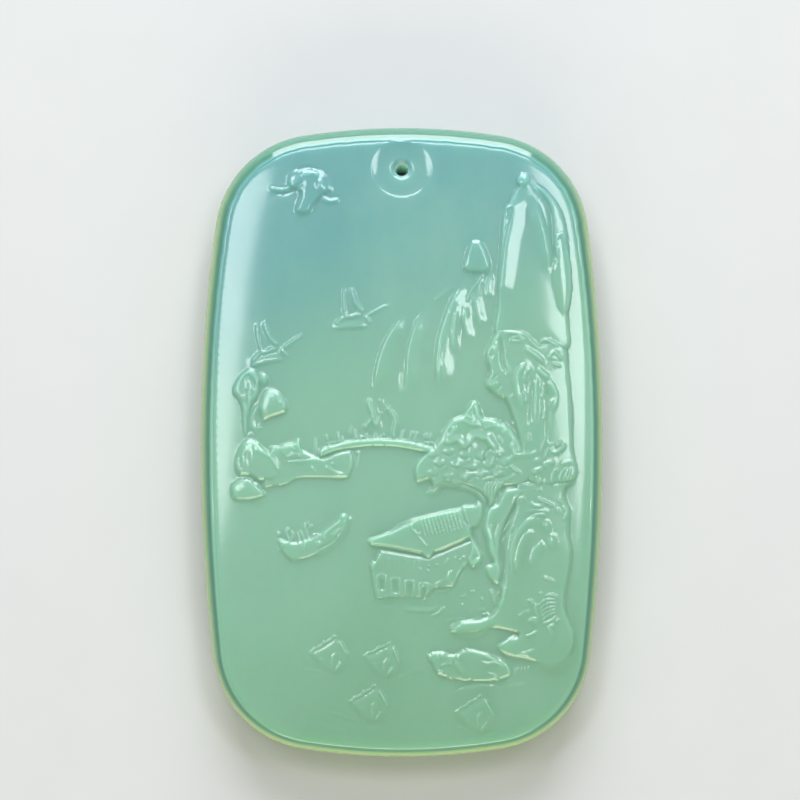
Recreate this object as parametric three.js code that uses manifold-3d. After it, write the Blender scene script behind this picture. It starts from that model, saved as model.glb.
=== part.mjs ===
// A carved jade plaque: a pendant tablet with a bowed, round-cornered outline, a cushion face
// inside a fine sunk crease, a landscape in low relief and a drilled cord hole near the top.
// Millimetres, +Z up. The plaque lies on its back with its top towards +Y, and the origin is
// the middle of its underside.

import * as THREE from 'three';
import { mergeVertices } from 'three/addons/utils/BufferGeometryUtils.js';
import Module from 'manifold-3d';

// ---- Driving dimensions ----------------------------------------------------------------

const width = 40.0;
const height = 63.0;
const edgeLevel = 3.3;            // height of the widest line of the rounded side
const shoulderRise = 2.5;         // from there up to the shoulder of the front
const cushionRise = 1.35;         // from the shoulder up to the middle of the face
const sideBow = 173.0;            // radius of the two long sides
const endBow = 62.0;              // radius of the two short ends
const cornerRadius = 10.5;

const frontRound = 2.2;           // how far the front shoulder reaches in from the outline
const backRound = 3.4;            // the same at the back, down to the flat resting area
const roundness = 2.3;            // exponent of both rounded edges: 2 is an ellipse
const cushionSquare = 4.0;        // how square the level lines of the cushion are
const cushionFall = 2.8;          // how late the cushion starts to fall

const creaseInset = 1.3;          // crease line, in from the outline, half way up the plaque
const creaseDrift = 0.5;          // wider than that at the top and narrower at the foot
const creaseDepth = 0.28;         // drop from the shoulder's level to the face inside it

const holeRadius = 0.65;
const holeY = 26.9;
const mouthRadius = 1.25;         // rounded mouth of the hole
const dishRadius = 3.05;          // shallow dish ground round the hole
const dishDepth = 0.26;
const holeFacets = 20;
const mouthAcross = 0.3;          // where the rounded mouth's middle lies between bore and lip,
const mouthDown = 0.35;           // across and down, as shares of the round
const mouthLip = 0.05;            // how far the lip stands above the bottom of the dish

const massHeight = 0.34;          // how far rocks, banks and buildings stand above the face
const foldHeight = 0.26;          // step of a mountain fold
const lineHeight = 0.2;           // small raised lines

const faceCells = 256;            // finest grid of the carved face, a power of two
const faceSpan = 66.0;            // side of the square that grid covers
const faceTolerance = 0.04;       // where the face is flatter than this it keeps large facets
const fineSpan = 1.6;             // facets shorter than this count for less the smaller they are
const dishCare = 6.0;             // how much more closely the dish is followed
const cutReach = 2.0;             // how far cutting blocks reach past the surface they cut
const bossRise = 1.0;             // block left over the face until the pocket is cut, above it
const bossInset = 0.4;            // and in from the round of the front

const curveSteps = 5;             // points between the given points of a carved line
const lineEnd = 0.08;             // share of its swell that a carved line keeps at its ends
const lineFullness = 0.6;         // under 1 a line swells sooner towards its full height

const sideSteps = 5;              // facets in a quarter of the outline: side, corner, end
const cornerSteps = 7;
const endSteps = 4;
const roundSteps = 5;             // facets across a rounded edge
const weldDistance = 1e-5;

// ---- Small helpers ---------------------------------------------------------------------

const clamp01 = (t) => Math.min(Math.max(t, 0), 1);

function ease(t) {
  const s = clamp01(t);
  return s * s * (3 - 2 * s);
}

// ---- Outline: three tangent arcs in each quarter ----------------------------------------

// The corner arc touches the side arc and the end arc from inside, which fixes its centre.
function cornerCentre() {
  const side = { x: width / 2 - sideBow, y: 0, r: sideBow - cornerRadius };
  const end = { x: 0, y: height / 2 - endBow, r: endBow - cornerRadius };
  const dx = end.x - side.x;
  const dy = end.y - side.y;
  const gap = Math.hypot(dx, dy);
  const along = (side.r ** 2 - end.r ** 2 + gap ** 2) / (2 * gap);
  const across = Math.sqrt(side.r ** 2 - along ** 2);
  return {
    x: side.x + (along * dx - across * dy) / gap,
    y: side.y + (along * dy + across * dx) / gap,
  };
}

// Points of a quarter turn, from the middle of the right side to the middle of the top end,
// each with the direction in which the outline faces there.
function quarterOutline() {
  const corner = cornerCentre();
  const sideTurn = Math.atan2(corner.y, corner.x - (width / 2 - sideBow));
  const endTurn = Math.atan2(corner.y - (height / 2 - endBow), corner.x);
  const arcs = [
    { x: width / 2 - sideBow, y: 0, r: sideBow, from: 0, to: sideTurn, steps: sideSteps },
    { x: corner.x, y: corner.y, r: cornerRadius, from: sideTurn, to: endTurn, steps: cornerSteps },
    { x: 0, y: height / 2 - endBow, r: endBow, from: endTurn, to: Math.PI / 2, steps: endSteps },
  ];
  const points = [];
  for (const arc of arcs) {
    for (let i = 0; i < arc.steps; i += 1) {
      const turn = arc.from + ((arc.to - arc.from) * i) / arc.steps;
      const nx = Math.cos(turn);
      const ny = Math.sin(turn);
      points.push({ x: arc.x + arc.r * nx, y: arc.y + arc.r * ny, nx, ny });
    }
  }
  return points;
}

// The whole outline, counter-clockwise, from the quarter by its two mirrors.
function wholeOutline() {
  const quarter = quarterOutline();
  const top = { x: 0, y: height / 2, nx: 0, ny: 1 };
  const half = [...quarter, top];
  for (const p of quarter.slice(1).reverse()) {
    half.push({ x: -p.x, y: p.y, nx: -p.nx, ny: p.ny });
  }
  const other = half.map((p) => ({ x: -p.x, y: -p.y, nx: -p.nx, ny: -p.ny }));
  return [...half, ...other];
}

const outline = wholeOutline();

function inset(distance) {
  return outline.map((p) => ({ x: p.x - p.nx * distance, y: p.y - p.ny * distance }));
}

// ---- Solids from rings and from a height field -------------------------------------------

const wasm = await Module();
wasm.setup();

function toSolid(geometry) {
  geometry.deleteAttribute('normal');
  geometry.deleteAttribute('uv');
  const merged = mergeVertices(geometry, weldDistance);
  return new wasm.Manifold(new wasm.Mesh({
    numProp: 3,
    vertProperties: new Float32Array(merged.attributes.position.array),
    triVerts: new Uint32Array(merged.index.array),
  }));
}

function fromSolid(solid) {
  const mesh = solid.getMesh();
  const geometry = new THREE.BufferGeometry();
  geometry.setAttribute('position', new THREE.BufferAttribute(mesh.vertProperties, 3));
  geometry.setIndex(new THREE.BufferAttribute(mesh.triVerts, 1));
  geometry.computeVertexNormals();
  return geometry;
}

function closedGeometry(points, faces) {
  const geometry = new THREE.BufferGeometry();
  geometry.setAttribute('position', new THREE.Float32BufferAttribute(points.flat(), 3));
  geometry.setIndex(faces.flat());
  return geometry;
}

// Rings of equal length from the lowest to the highest, skinned and closed at both ends.
function loft(rings) {
  const count = rings[0].length;
  const points = rings.flat();
  const faces = [];
  for (let r = 0; r + 1 < rings.length; r += 1) {
    for (let i = 0; i < count; i += 1) {
      const a = r * count + i;
      const b = r * count + ((i + 1) % count);
      faces.push([a, b, b + count], [a, b + count, a + count]);
    }
  }
  const foot = points.length;
  const crown = foot + 1;
  points.push([0, 0, rings[0][0][2]], [0, 0, rings[rings.length - 1][0][2]]);
  const last = (rings.length - 1) * count;
  for (let i = 0; i < count; i += 1) {
    const next = (i + 1) % count;
    faces.push([foot, next, i], [crown, last + i, last + next]);
  }
  return toSolid(closedGeometry(points, faces));
}

// ---- Form of the front and the back --------------------------------------------------------

// Rise of a rounded edge at a distance in from the outline.
function edgeRise(distance, reach, rise) {
  const out = 1 - clamp01(distance / reach);
  return rise * (1 - out ** roundness) ** (1 / roundness);
}

// A cushion, nothing at the outline and fullest in the middle.
function cushion(x, y) {
  const u = Math.abs(x) / (width / 2);
  const v = Math.abs(y) / (height / 2);
  const reach = (u ** cushionSquare + v ** cushionSquare) ** (1 / cushionSquare);
  return cushionRise * (1 - Math.min(reach, 1) ** cushionFall);
}

function rimHeight(x, y, distance) {
  return edgeLevel + edgeRise(distance, frontRound, shoulderRise) + cushion(x, y);
}

function groundHeight(x, y) {
  return edgeLevel + shoulderRise + cushion(x, y) - creaseDepth;
}

// ---- Blank: rounded edges all round, a flat resting area below ----------------------------

// Rings go closer together where the edge turns fastest.
function edgeInsets(reach) {
  const insets = [];
  for (let i = 0; i <= roundSteps; i += 1) {
    insets.push(reach * (1 - Math.cos((Math.PI / 2) * (i / roundSteps))));
  }
  return insets;
}

function makeBlank() {
  const backRings = edgeInsets(backRound).slice(1).reverse().map((distance) => {
    const z = edgeLevel - edgeRise(distance, backRound, edgeLevel);
    return inset(distance).map((p) => [p.x, p.y, z]);
  });
  const frontRings = edgeInsets(frontRound).map((distance) => (
    inset(distance).map((p) => [p.x, p.y, rimHeight(p.x, p.y, distance)])));
  const aboveFace = edgeLevel + shoulderRise + cushionRise + bossRise;
  const boss = inset(frontRound + bossInset).map((p) => [p.x, p.y, aboveFace]);
  return loft([...backRings, ...frontRings, boss]);
}

// ---- Carver's marks ------------------------------------------------------------------------

const masses = [];
const marks = [];

function spline(points, closed) {
  const curve = new THREE.CatmullRomCurve3(
    points.map(([x, y]) => new THREE.Vector3(x, y, 0)), closed, 'centripetal');
  return curve.getPoints(points.length * curveSteps).map((p) => [p.x, p.y]);
}

function boxOf(points, margin) {
  const xs = points.map((p) => p[0]);
  const ys = points.map((p) => p[1]);
  return {
    x0: Math.min(...xs) - margin, x1: Math.max(...xs) + margin,
    y0: Math.min(...ys) - margin, y1: Math.max(...ys) + margin,
  };
}

// Ground raised inside a closed line, rounded off over the shoulder width.
function mass(points, rise, shoulder, smooth = true) {
  const line = smooth ? spline(points, true) : [...points, points[0]];
  masses.push({ line, rise, shoulder, box: boxOf(line, 0) });
}

// A raised oval knob.
function knob(x, y, rx, ry, rise, turn = 0) {
  masses.push({ x, y, rx, ry, rise, turn, box: boxOf([[x, y]], Math.max(rx, ry)) });
}

// A raised line that is full in its middle and dies out at both ends.
function ridge(points, half, rise) {
  const line = spline(points, false);
  marks.push({ line, left: half, right: half, rise, box: boxOf(line, half) });
}

// A cut line.
function groove(points, half, depth) {
  ridge(points, half, -depth);
}

// A step: crisp on the left of the line's direction, fading away on its right.
function fold(points, crisp, fade, rise) {
  const line = spline(points, false);
  marks.push({ line, left: crisp, right: fade, rise, box: boxOf(line, fade) });
}

// Distance from a point to a broken line, with the side and the way along it.
function nearest(line, x, y) {
  let best = { d: Infinity, side: 1, along: 0 };
  for (let i = 0; i + 1 < line.length; i += 1) {
    const [ax, ay] = line[i];
    const dx = line[i + 1][0] - ax;
    const dy = line[i + 1][1] - ay;
    const t = clamp01(((x - ax) * dx + (y - ay) * dy) / (dx * dx + dy * dy));
    const d = Math.hypot(x - ax - dx * t, y - ay - dy * t);
    if (d < best.d) {
      const side = dx * (y - ay) - dy * (x - ax) > 0 ? 1 : -1;
      best = { d, side, along: (i + t) / (line.length - 1) };
    }
  }
  return best;
}

function inside(line, x, y) {
  let odd = false;
  for (let i = 0; i + 1 < line.length; i += 1) {
    const [ax, ay] = line[i];
    const [bx, by] = line[i + 1];
    if ((ay > y) !== (by > y) && x < ax + ((bx - ax) * (y - ay)) / (by - ay)) {
      odd = !odd;
    }
  }
  return odd;
}

function within(box, x, y) {
  return x >= box.x0 && x <= box.x1 && y >= box.y0 && y <= box.y1;
}

function massAt(item, x, y) {
  if (item.line === undefined) {
    const c = Math.cos(item.turn);
    const s = Math.sin(item.turn);
    const u = (c * (x - item.x) + s * (y - item.y)) / item.rx;
    const v = (c * (y - item.y) - s * (x - item.x)) / item.ry;
    return item.rise * Math.sqrt(Math.max(0, 1 - u * u - v * v));
  }
  if (!inside(item.line, x, y)) {
    return 0;
  }
  const depth = clamp01(nearest(item.line, x, y).d / item.shoulder);
  return item.rise * depth * (2 - depth);
}

function markAt(item, x, y) {
  const near = nearest(item.line, x, y);
  const reach = near.side > 0 ? item.left : item.right;
  const way = lineEnd + (1 - 2 * lineEnd) * near.along;
  const swell = Math.sin(Math.PI * way) ** lineFullness;
  return item.rise * swell * (1 - ease(near.d / reach));
}

function carving(x, y) {
  let base = 0;
  for (const item of masses) {
    if (within(item.box, x, y)) {
      base = Math.max(base, massAt(item, x, y));
    }
  }
  let lines = 0;
  for (const item of marks) {
    if (within(item.box, x, y)) {
      lines += markAt(item, x, y);
    }
  }
  return base + lines;
}

// ---- The landscape -------------------------------------------------------------------------

// A cloud like a mushroom cap with a curled foot on each side.
function cloud(x, y) {
  knob(x, y + 0.9, 2.1, 1.5, massHeight);
  ridge([[x - 0.8, y + 1.4], [x - 1.9, y + 0.5], [x - 2.1, y - 0.7]], 0.4, lineHeight);
  ridge([[x - 2.1, y - 0.6], [x - 3.2, y - 0.8], [x - 4.2, y - 0.4]], 0.35, lineHeight);
  ridge([[x + 0.9, y + 1.2], [x + 1.9, y], [x + 2.1, y - 1.2]], 0.4, lineHeight);
  ridge([[x + 1.1, y - 1.5], [x + 1.9, y - 2.0], [x + 3.0, y - 1.9]], 0.35, lineHeight);
  fold([[x + 2.4, y - 2.9], [x, y - 3.5], [x - 2.4, y - 2.9]], 0.9, 2.6, foldHeight * 0.6);
}

// A bird on the wing: two raised wings, a long neck and tail, and the line it skims.
function bird(x, y, lean) {
  const wing = (dx, reach) => ridge(
    [[x + dx - lean, y + reach], [x + dx, y + reach / 2], [x + dx + 0.6, y]], 0.38, lineHeight);
  wing(-0.9, 2.6);
  wing(-0.1, 2.4);
  ridge([[x - 1.9, y - 1.3], [x - 1.0, y - 0.4], [x, y]], 0.35, lineHeight);
  ridge([[x + 1.1, y - 0.9], [x + 1.9, y - 0.2], [x + 3.0, y + 0.4]], 0.3, lineHeight);
  ridge([[x - 2.2, y - 1.6], [x, y - 1.5], [x + 2.0, y - 1.5]], 0.28, lineHeight);
}

// The tall peak at the right, its knob, its facets and the valley down its right flank.
function tallPeak() {
  mass([[11.5, 25.2], [12.6, 25.9], [14.6, 24.6], [16.4, 21], [16.8, 15], [16.4, 9],
    [9.7, 9.5], [9.3, 13], [9.5, 18], [10.0, 22.6], [11.0, 24.4]], massHeight, 0.55);
  knob(12.1, 25.6, 0.55, 0.7, massHeight + 0.12);
  fold([[9.6, 13.6], [10.3, 18], [11.2, 22], [11.6, 24.6]], 0.5, 2.2, foldHeight * 0.7);
  fold([[14.8, 16.2], [14.0, 20.5], [12.9, 24]], 2.6, 0.9, foldHeight * 0.6);
  groove([[12.9, 25.4], [14.3, 23.6], [14.9, 21.4], [15.0, 16.5]], 0.6, foldHeight);
  knob(15.9, 17.2, 0.85, 3.2, massHeight + 0.18, 0.05);
  ridge([[16.5, 19.4], [15.8, 20.3], [15.1, 19.4]], 0.35, lineHeight);
}

// The egg-shaped boulder that sits in the gap between the peaks.
function eggBoulder(x, y) {
  knob(x, y, 1.5, 1.8, massHeight);
  ridge([[x - 1.3, y - 1.0], [x - 1.0, y + 1.0], [x, y + 1.75], [x + 1.0, y + 1.0],
    [x + 1.4, y - 1.0]], 0.3, lineHeight * 0.7);
}

// Long folds of the middle mountain, each falling to the left and steepening.
function middleMountain() {
  const falls = [
    { top: [0.5, 12.0], foot: [-2.75, 4.0], bow: 1.25 },
    { top: [2.3, 12.7], foot: [0.3, 3.5], bow: 0.75 },
    { top: [6.3, 15.0], foot: [3.75, 4.2], bow: 1.1 },
    { top: [8.1, 16.0], foot: [6.6, 13.3], bow: 0.1 },
  ];
  for (const fall of falls) {
    const middle = [
      (fall.top[0] + fall.foot[0]) / 2 - fall.bow * 0.9,
      (fall.top[1] + fall.foot[1]) / 2 + fall.bow * 0.4,
    ];
    fold([fall.foot, middle, fall.top], 0.4, 2.0, foldHeight);
  }
  ridge([[5.6, 13.0], [5.1, 10.5], [5.2, 8.2]], 0.32, lineHeight);
  ridge([[6.3, 13.0], [6.3, 11.0], [6.9, 9.4]], 0.32, lineHeight);
  ridge([[7.3, 14.0], [7.5, 12.2], [8.0, 10.9]], 0.32, lineHeight);
  ridge([[8.9, 16.2], [8.8, 13.6]], 0.4, lineHeight);
}

// Rock columns below the tall peak.
function rockColumns() {
  mass([[9.5, 10.6], [11.4, 10.7], [13.6, 9.3], [16.9, 8.6], [17.3, 0], [17.0, -4.5], [12.4, -4.8],
    [11.5, -0.4], [10.7, 2.2], [9.6, 3.6], [8.1, 5.0], [8.6, 6.5], [8.3, 8.3]],
  massHeight + 0.06, 0.5);
  ridge([[13.5, 9.0], [12.0, 10.1], [10.2, 10.3]], 0.35, lineHeight);
  ridge([[8.5, 8.4], [9.4, 8.9], [9.0, 7.5]], 0.35, lineHeight);
  groove([[10.5, 9.4], [10.0, 7.6], [10.5, 5.9]], 0.45, foldHeight);
  fold([[11.7, 2.6], [11.5, 4.6], [11.5, 6.4], [12.8, 7.2], [14.3, 7.3]], 0.5, 1.5, foldHeight);
  ridge([[13.2, 6.0], [13.2, 3.5], [13.1, 0.6]], 0.5, lineHeight);
  groove([[14.0, 5.2], [14.1, 3.0], [14.2, -1.6]], 0.45, foldHeight * 0.8);
  fold([[14.4, 5.6], [15.3, 4.2], [15.1, 2.4]], 0.7, 1.2, foldHeight);
  ridge([[13.5, 6.7], [14.5, 5.8]], 0.4, lineHeight);
  ridge([[14.2, 8.0], [15.2, 8.3], [16.2, 7.4]], 0.45, lineHeight);
}

// Stump, boulder, cliff and the spit of land that carries the left end of the bridge.
function leftShore() {
  mass([[-16.9, 4.4], [-16.2, 6.2], [-15.0, 6.8], [-14.2, 6.1], [-14.2, 4.2], [-15.1, 2.4],
    [-15.2, 0], [-15.9, -0.2], [-16.0, 2.8]], massHeight, 0.5);
  knob(-13.7, 5.7, 0.45, 0.5, massHeight);
  mass([[-14.3, 2.6], [-13.6, 4.4], [-12.3, 4.6], [-11.2, 3.2], [-11.4, 2.2], [-12.6, 1.9],
    [-13.9, 1.3]], massHeight, 0.8);
  ridge([[-14.0, 0.2], [-14.8, 1.3], [-14.6, 2.7]], 0.3, lineHeight);
  mass([[-16.0, -0.2], [-14.4, -0.1], [-12.9, -1.6], [-11.8, -3.6], [-13.2, -4.6], [-14.9, -4.2],
    [-16.3, -3.9], [-16.6, -2.2]], massHeight, 0.7);
  mass([[-16.9, -4.6], [-15.6, -4.0], [-14.2, -4.8], [-13.2, -6.0], [-14.4, -6.4], [-16.2, -6.5],
    [-17.0, -5.6]], massHeight, 0.7);
  mass([[-13.0, -1.2], [-10.0, -1.6], [-5.4, -1.5], [-4.7, -3.4], [-5.2, -4.3], [-8.0, -4.4],
    [-10.2, -4.4], [-11.8, -5.1], [-13.8, -5.2]], massHeight * 0.7, 0.7);
  mass([[-12.3, -1.0], [-10.6, -0.7], [-10.1, -0.2], [-9.7, -2.1], [-11.3, -2.5]],
    massHeight + 0.1, 0.3, false);
  ridge([[-8.5, -0.3], [-8.6, -1.4], [-8.4, -2.3]], 0.3, lineHeight);
}

// A low arched bridge with posts along its rail and a tall gate at its crown.
function bridge() {
  const ends = [-8.0, 3.4];
  const middle = (ends[0] + ends[1]) / 2;
  const half = (ends[1] - ends[0]) / 2;
  const deck = (x, crown, fall) => crown - fall * ((x - middle) / half) ** 2;
  const upper = [];
  const lower = [];
  const spans = 5;
  for (let i = 0; i <= spans; i += 1) {
    const x = ends[0] + ((ends[1] - ends[0]) * i) / spans;
    upper.push([x, deck(x, -0.35, 0.9)]);
    lower.unshift([x, deck(x, -1.2, 1.0)]);
  }
  mass([...upper, ...lower], massHeight, 0.3);
  const posts = 8;
  for (let i = 0; i <= posts; i += 1) {
    const x = ends[0] + 0.4 + ((ends[1] - ends[0] - 0.8) * i) / posts;
    const foot = deck(x, -0.35, 0.9);
    ridge([[x, foot - 0.1], [x + 0.1, foot + 0.9]], 0.28, lineHeight);
  }
  ridge([[-3.1, 3.6], [-3.0, 2.4], [-2.5, 0.9]], 0.42, massHeight);
  ridge([[-1.8, 3.3], [-0.9, 2.2], [-0.8, -0.2]], 0.42, massHeight);
  ridge([[-4.3, -1.4], [-4.4, -3.8]], 0.3, lineHeight);
}

// Crown of the big tree, its twin tips, its lobes and the trunk winding down beside the roof.
function bigTree() {
  mass([[3.5, -0.6], [4.8, 1.5], [6.2, 2.0], [8.2, 1.8], [10.1, 1.3], [11.4, 0.1], [12.2, -2.2],
    [12.0, -5.0], [10.1, -5.2], [9.1, -6.8], [7.9, -6.0], [6.4, -5.1], [4.4, -4.9], [2.5, -5.9],
    [2.6, -4.6], [1.3, -4.5], [1.0, -3.0], [2.1, -1.7]], massHeight + 0.1, 0.6);
  ridge([[6.1, 2.0], [6.7, 2.8], [7.0, 3.4]], 0.4, massHeight);
  ridge([[7.5, 3.3], [7.7, 2.5], [8.0, 1.8]], 0.35, massHeight);
  ridge([[4.0, -0.8], [5.4, -0.6], [6.1, -1.2], [7.2, -0.2], [8.4, -0.4], [9.5, -1.5]],
    0.35, lineHeight);
  const lumps = 4;
  for (let row = 0; row < 3; row += 1) {
    for (let i = 0; i < lumps; i += 1) {
      const x = 3.6 + 2.1 * i + 0.9 * (row % 2);
      knob(x, -1.3 - 1.35 * row, 0.85, 0.6, massHeight + 0.26);
    }
  }
  ridge([[2.6, -5.8], [4.2, -5.0], [6.6, -5.3], [8.0, -6.4], [8.3, -7.4]], 0.4, lineHeight);
  fold([[9.0, -12.4], [8.5, -10.6], [8.2, -9.2], [8.9, -7.5], [9.7, -6.0], [11.4, -5.2]],
    0.5, 1.6, foldHeight + 0.1);
  ridge([[7.4, -6.8], [7.9, -7.7], [7.1, -9.2], [7.3, -10.8], [7.9, -12.2]], 0.4, massHeight);
  ridge([[8.6, -15.3], [9.1, -16.6]], 0.4, lineHeight);
  ridge([[10.0, -14.6], [10.1, -16.0], [9.4, -17.0]], 0.45, lineHeight);
}

// A waterside pavilion under a hipped roof with swept eaves.
function pavilion() {
  mass([[-3.1, -13.7], [-2.2, -11.4], [2.6, -12.3], [6.8, -10.6], [7.9, -12.1], [6.3, -13.4],
    [5.0, -15.0], [2.2, -16.3], [-2.6, -16.3]], massHeight * 0.7, 0.3, false);
  mass([[-3.5, -10.5], [-1.1, -9.5], [1.8, -8.1], [5.8, -7.1], [7.0, -8.8], [7.0, -10.2],
    [3.3, -11.7], [2.6, -12.3], [1.9, -11.9], [-0.4, -11.4], [-3.0, -11.1]],
  massHeight + 0.14, 0.45, false);
  ridge([[-3.4, -10.5], [-1.3, -9.7], [1.8, -8.3]], 0.35, lineHeight);
  ridge([[0.9, -9.0], [1.7, -9.9], [2.6, -11.1]], 0.3, lineHeight);
  const bays = 4;
  for (let i = 0; i < bays; i += 1) {
    groove([[-2.0 + 1.35 * i, -14.0 - 0.28 * i], [-1.95 + 1.35 * i, -15.7]], 0.5, foldHeight);
  }
  ridge([[-2.7, -16.5], [1.0, -16.3], [4.2, -16.9]], 0.3, lineHeight);
  ridge([[4.2, -17.0], [3.6, -17.6], [2.9, -18.0]], 0.3, lineHeight);
}

// Rocks and bank along the lower right.
function rightBank() {
  mass([[11.6, -4.6], [17.0, -4.4], [16.6, -6.8], [16.9, -11], [16.5, -16], [17.0, -21.2],
    [15.6, -22.8], [14.0, -22.9], [12.7, -22.2], [10.9, -21.8], [9.2, -20.9], [10.6, -20.0],
    [8.6, -19.6], [6.8, -19.7], [4.7, -19.4], [5.5, -18.7], [8.2, -18.1], [9.0, -16.6],
    [8.6, -13.6], [9.1, -10.4], [9.3, -7.6]], massHeight, 0.6);
  fold([[11.0, -13.9], [10.8, -11.2], [11.5, -9.4], [13.0, -8.0]], 0.4, 1.4, foldHeight);
  fold([[11.4, -13.9], [11.5, -11.6], [12.3, -10.0]], 0.4, 1.0, foldHeight * 0.7);
  fold([[12.8, -13.3], [12.9, -12.0], [13.5, -10.8]], 0.4, 1.2, foldHeight * 0.7);
  ridge([[10.0, -9.8], [10.6, -8.8], [11.2, -8.2]], 0.35, lineHeight);
  ridge([[12.6, -6.8], [13.9, -7.1]], 0.4, lineHeight);
  ridge([[13.3, -6.3], [15.0, -7.1]], 0.3, lineHeight);
  knob(14.3, -9.0, 0.45, 0.6, massHeight + 0.2);
  knob(14.8, -10.6, 0.5, 0.8, massHeight + 0.2);
  knob(14.2, -17.3, 1.5, 1.4, massHeight + 0.22);
  knob(13.0, -18.5, 0.7, 0.5, massHeight + 0.3, 0.3);
  groove([[14.0, -19.0], [15.0, -19.3], [15.0, -20.6]], 0.6, foldHeight);
  groove([[9.6, -19.0], [8.0, -19.0], [5.8, -19.2]], 0.35, lineHeight);
  ridge([[13.3, -19.4], [11.4, -19.9], [9.4, -20.8]], 0.4, lineHeight);
  ridge([[13.0, -21.2], [11.0, -21.6]], 0.35, lineHeight);
}

// A small boat with its crew amidships and a reed canopy towards the bow.
function boat() {
  mass([[-12.2, -10.2], [-11.2, -12.2], [-8.7, -12.1], [-7.2, -11.4], [-5.7, -10.0], [-5.1, -8.6],
    [-5.5, -7.7], [-6.2, -8.6], [-7.7, -9.8], [-9.4, -10.6]], massHeight * 0.8, 0.45);
  ridge([[-7.6, -10.5], [-7.5, -9.7], [-6.0, -8.8]], 0.32, lineHeight);
  knob(-5.8, -8.2, 0.4, 0.35, massHeight + 0.1);
  knob(-8.2, -10.8, 0.4, 0.4, massHeight + 0.12);
  knob(-11.0, -9.9, 0.5, 0.9, massHeight);
  ridge([[-12.2, -10.2], [-11.6, -10.9], [-10.9, -10.5]], 0.3, lineHeight);
  ridge([[-10.0, -9.3], [-9.6, -10.4], [-9.8, -11.5]], 0.38, lineHeight + 0.05);
  ridge([[-9.1, -8.6], [-9.5, -9.3], [-9.2, -10.4]], 0.34, lineHeight + 0.05);
}

// A swimming waterfowl, head tucked: a ragged back, a round breast and a folded wing.
function waterfowl(x, y, size) {
  const at = (u, v) => [x + u * size, y + v * size];
  mass([at(-2.3, -0.2), at(-0.9, 0.6), at(0.3, 1.6), at(0.9, 1.3), at(1.8, -0.3), at(1.7, -1.4),
    at(0.8, -2.1), at(-1.2, -1.7)], massHeight * 0.7, 0.6);
  ridge([at(-2.3, -0.2), at(-0.9, 0.6), at(0.3, 1.6)], 0.35, lineHeight);
  ridge([at(0.8, 1.4), at(1.5, 0.4), at(1.9, -0.6)], 0.35, lineHeight);
  groove([at(-0.1, -1.4), at(-0.1, -0.2), at(0.5, 0.1)], 0.32, lineHeight);
}

// A long low rock awash in front of the bank, with three ticks of foam behind it.
function waterRock() {
  mass([[2.5, -21.9], [3.3, -21.3], [5.0, -21.6], [6.4, -21.0], [8.8, -21.6], [10.3, -22.5],
    [10.9, -23.7], [9.4, -24.4], [6.6, -24.3], [4.6, -24.0], [3.3, -23.6]], massHeight, 0.6);
  ridge([[7.5, -22.2], [8.6, -22.6], [10.2, -22.9]], 0.35, lineHeight);
  groove([[5.2, -21.9], [5.4, -22.9], [6.2, -23.6]], 0.35, lineHeight);
  for (let i = 0; i < 3; i += 1) {
    ridge([[11.3 + 0.45 * i, -23.6], [11.4 + 0.45 * i, -22.9]], 0.22, lineHeight);
  }
  ridge([[4.6, -25.4], [7.2, -24.7], [9.4, -24.9], [12.2, -24.5]], 0.3, lineHeight);
}

function carveLandscape() {
  cloud(-9.1, 25.6);
  bird(-4.6, 12.3, 0.1);
  bird(-13.4, 8.9, 0.3);
  tallPeak();
  eggBoulder(7.4, 17.8);
  middleMountain();
  rockColumns();
  leftShore();
  bridge();
  bigTree();
  pavilion();
  rightBank();
  boat();
  waterfowl(-6.9, -21.6, 1.0);
  waterfowl(-1.8, -22.1, 0.9);
  waterfowl(-3.0, -26.4, 1.0);
  waterfowl(7.6, -27.4, 1.0);
  waterRock();
}

// ---- Carved face as a solid: large facets where it is plain, small ones at the carving ------

// A shallow dish round the hole, deepest at the mouth.
function dishAt(x, y) {
  const out = Math.hypot(x, y - holeY) / dishRadius;
  return out < 1 ? -dishDepth * (1 - out ** 2) : 0;
}

function faceHeight(x, y) {
  return groundHeight(x, y) + carving(x, y) + dishAt(x, y);
}

function gridHeights() {
  const cell = faceSpan / faceCells;
  const line = faceCells + 1;
  const heights = new Float64Array(line * line);
  for (let j = 0; j < line; j += 1) {
    for (let i = 0; i < line; i += 1) {
      heights[j * line + i] = faceHeight(i * cell - faceSpan / 2, j * cell - faceSpan / 2);
    }
  }
  return heights;
}

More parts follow.
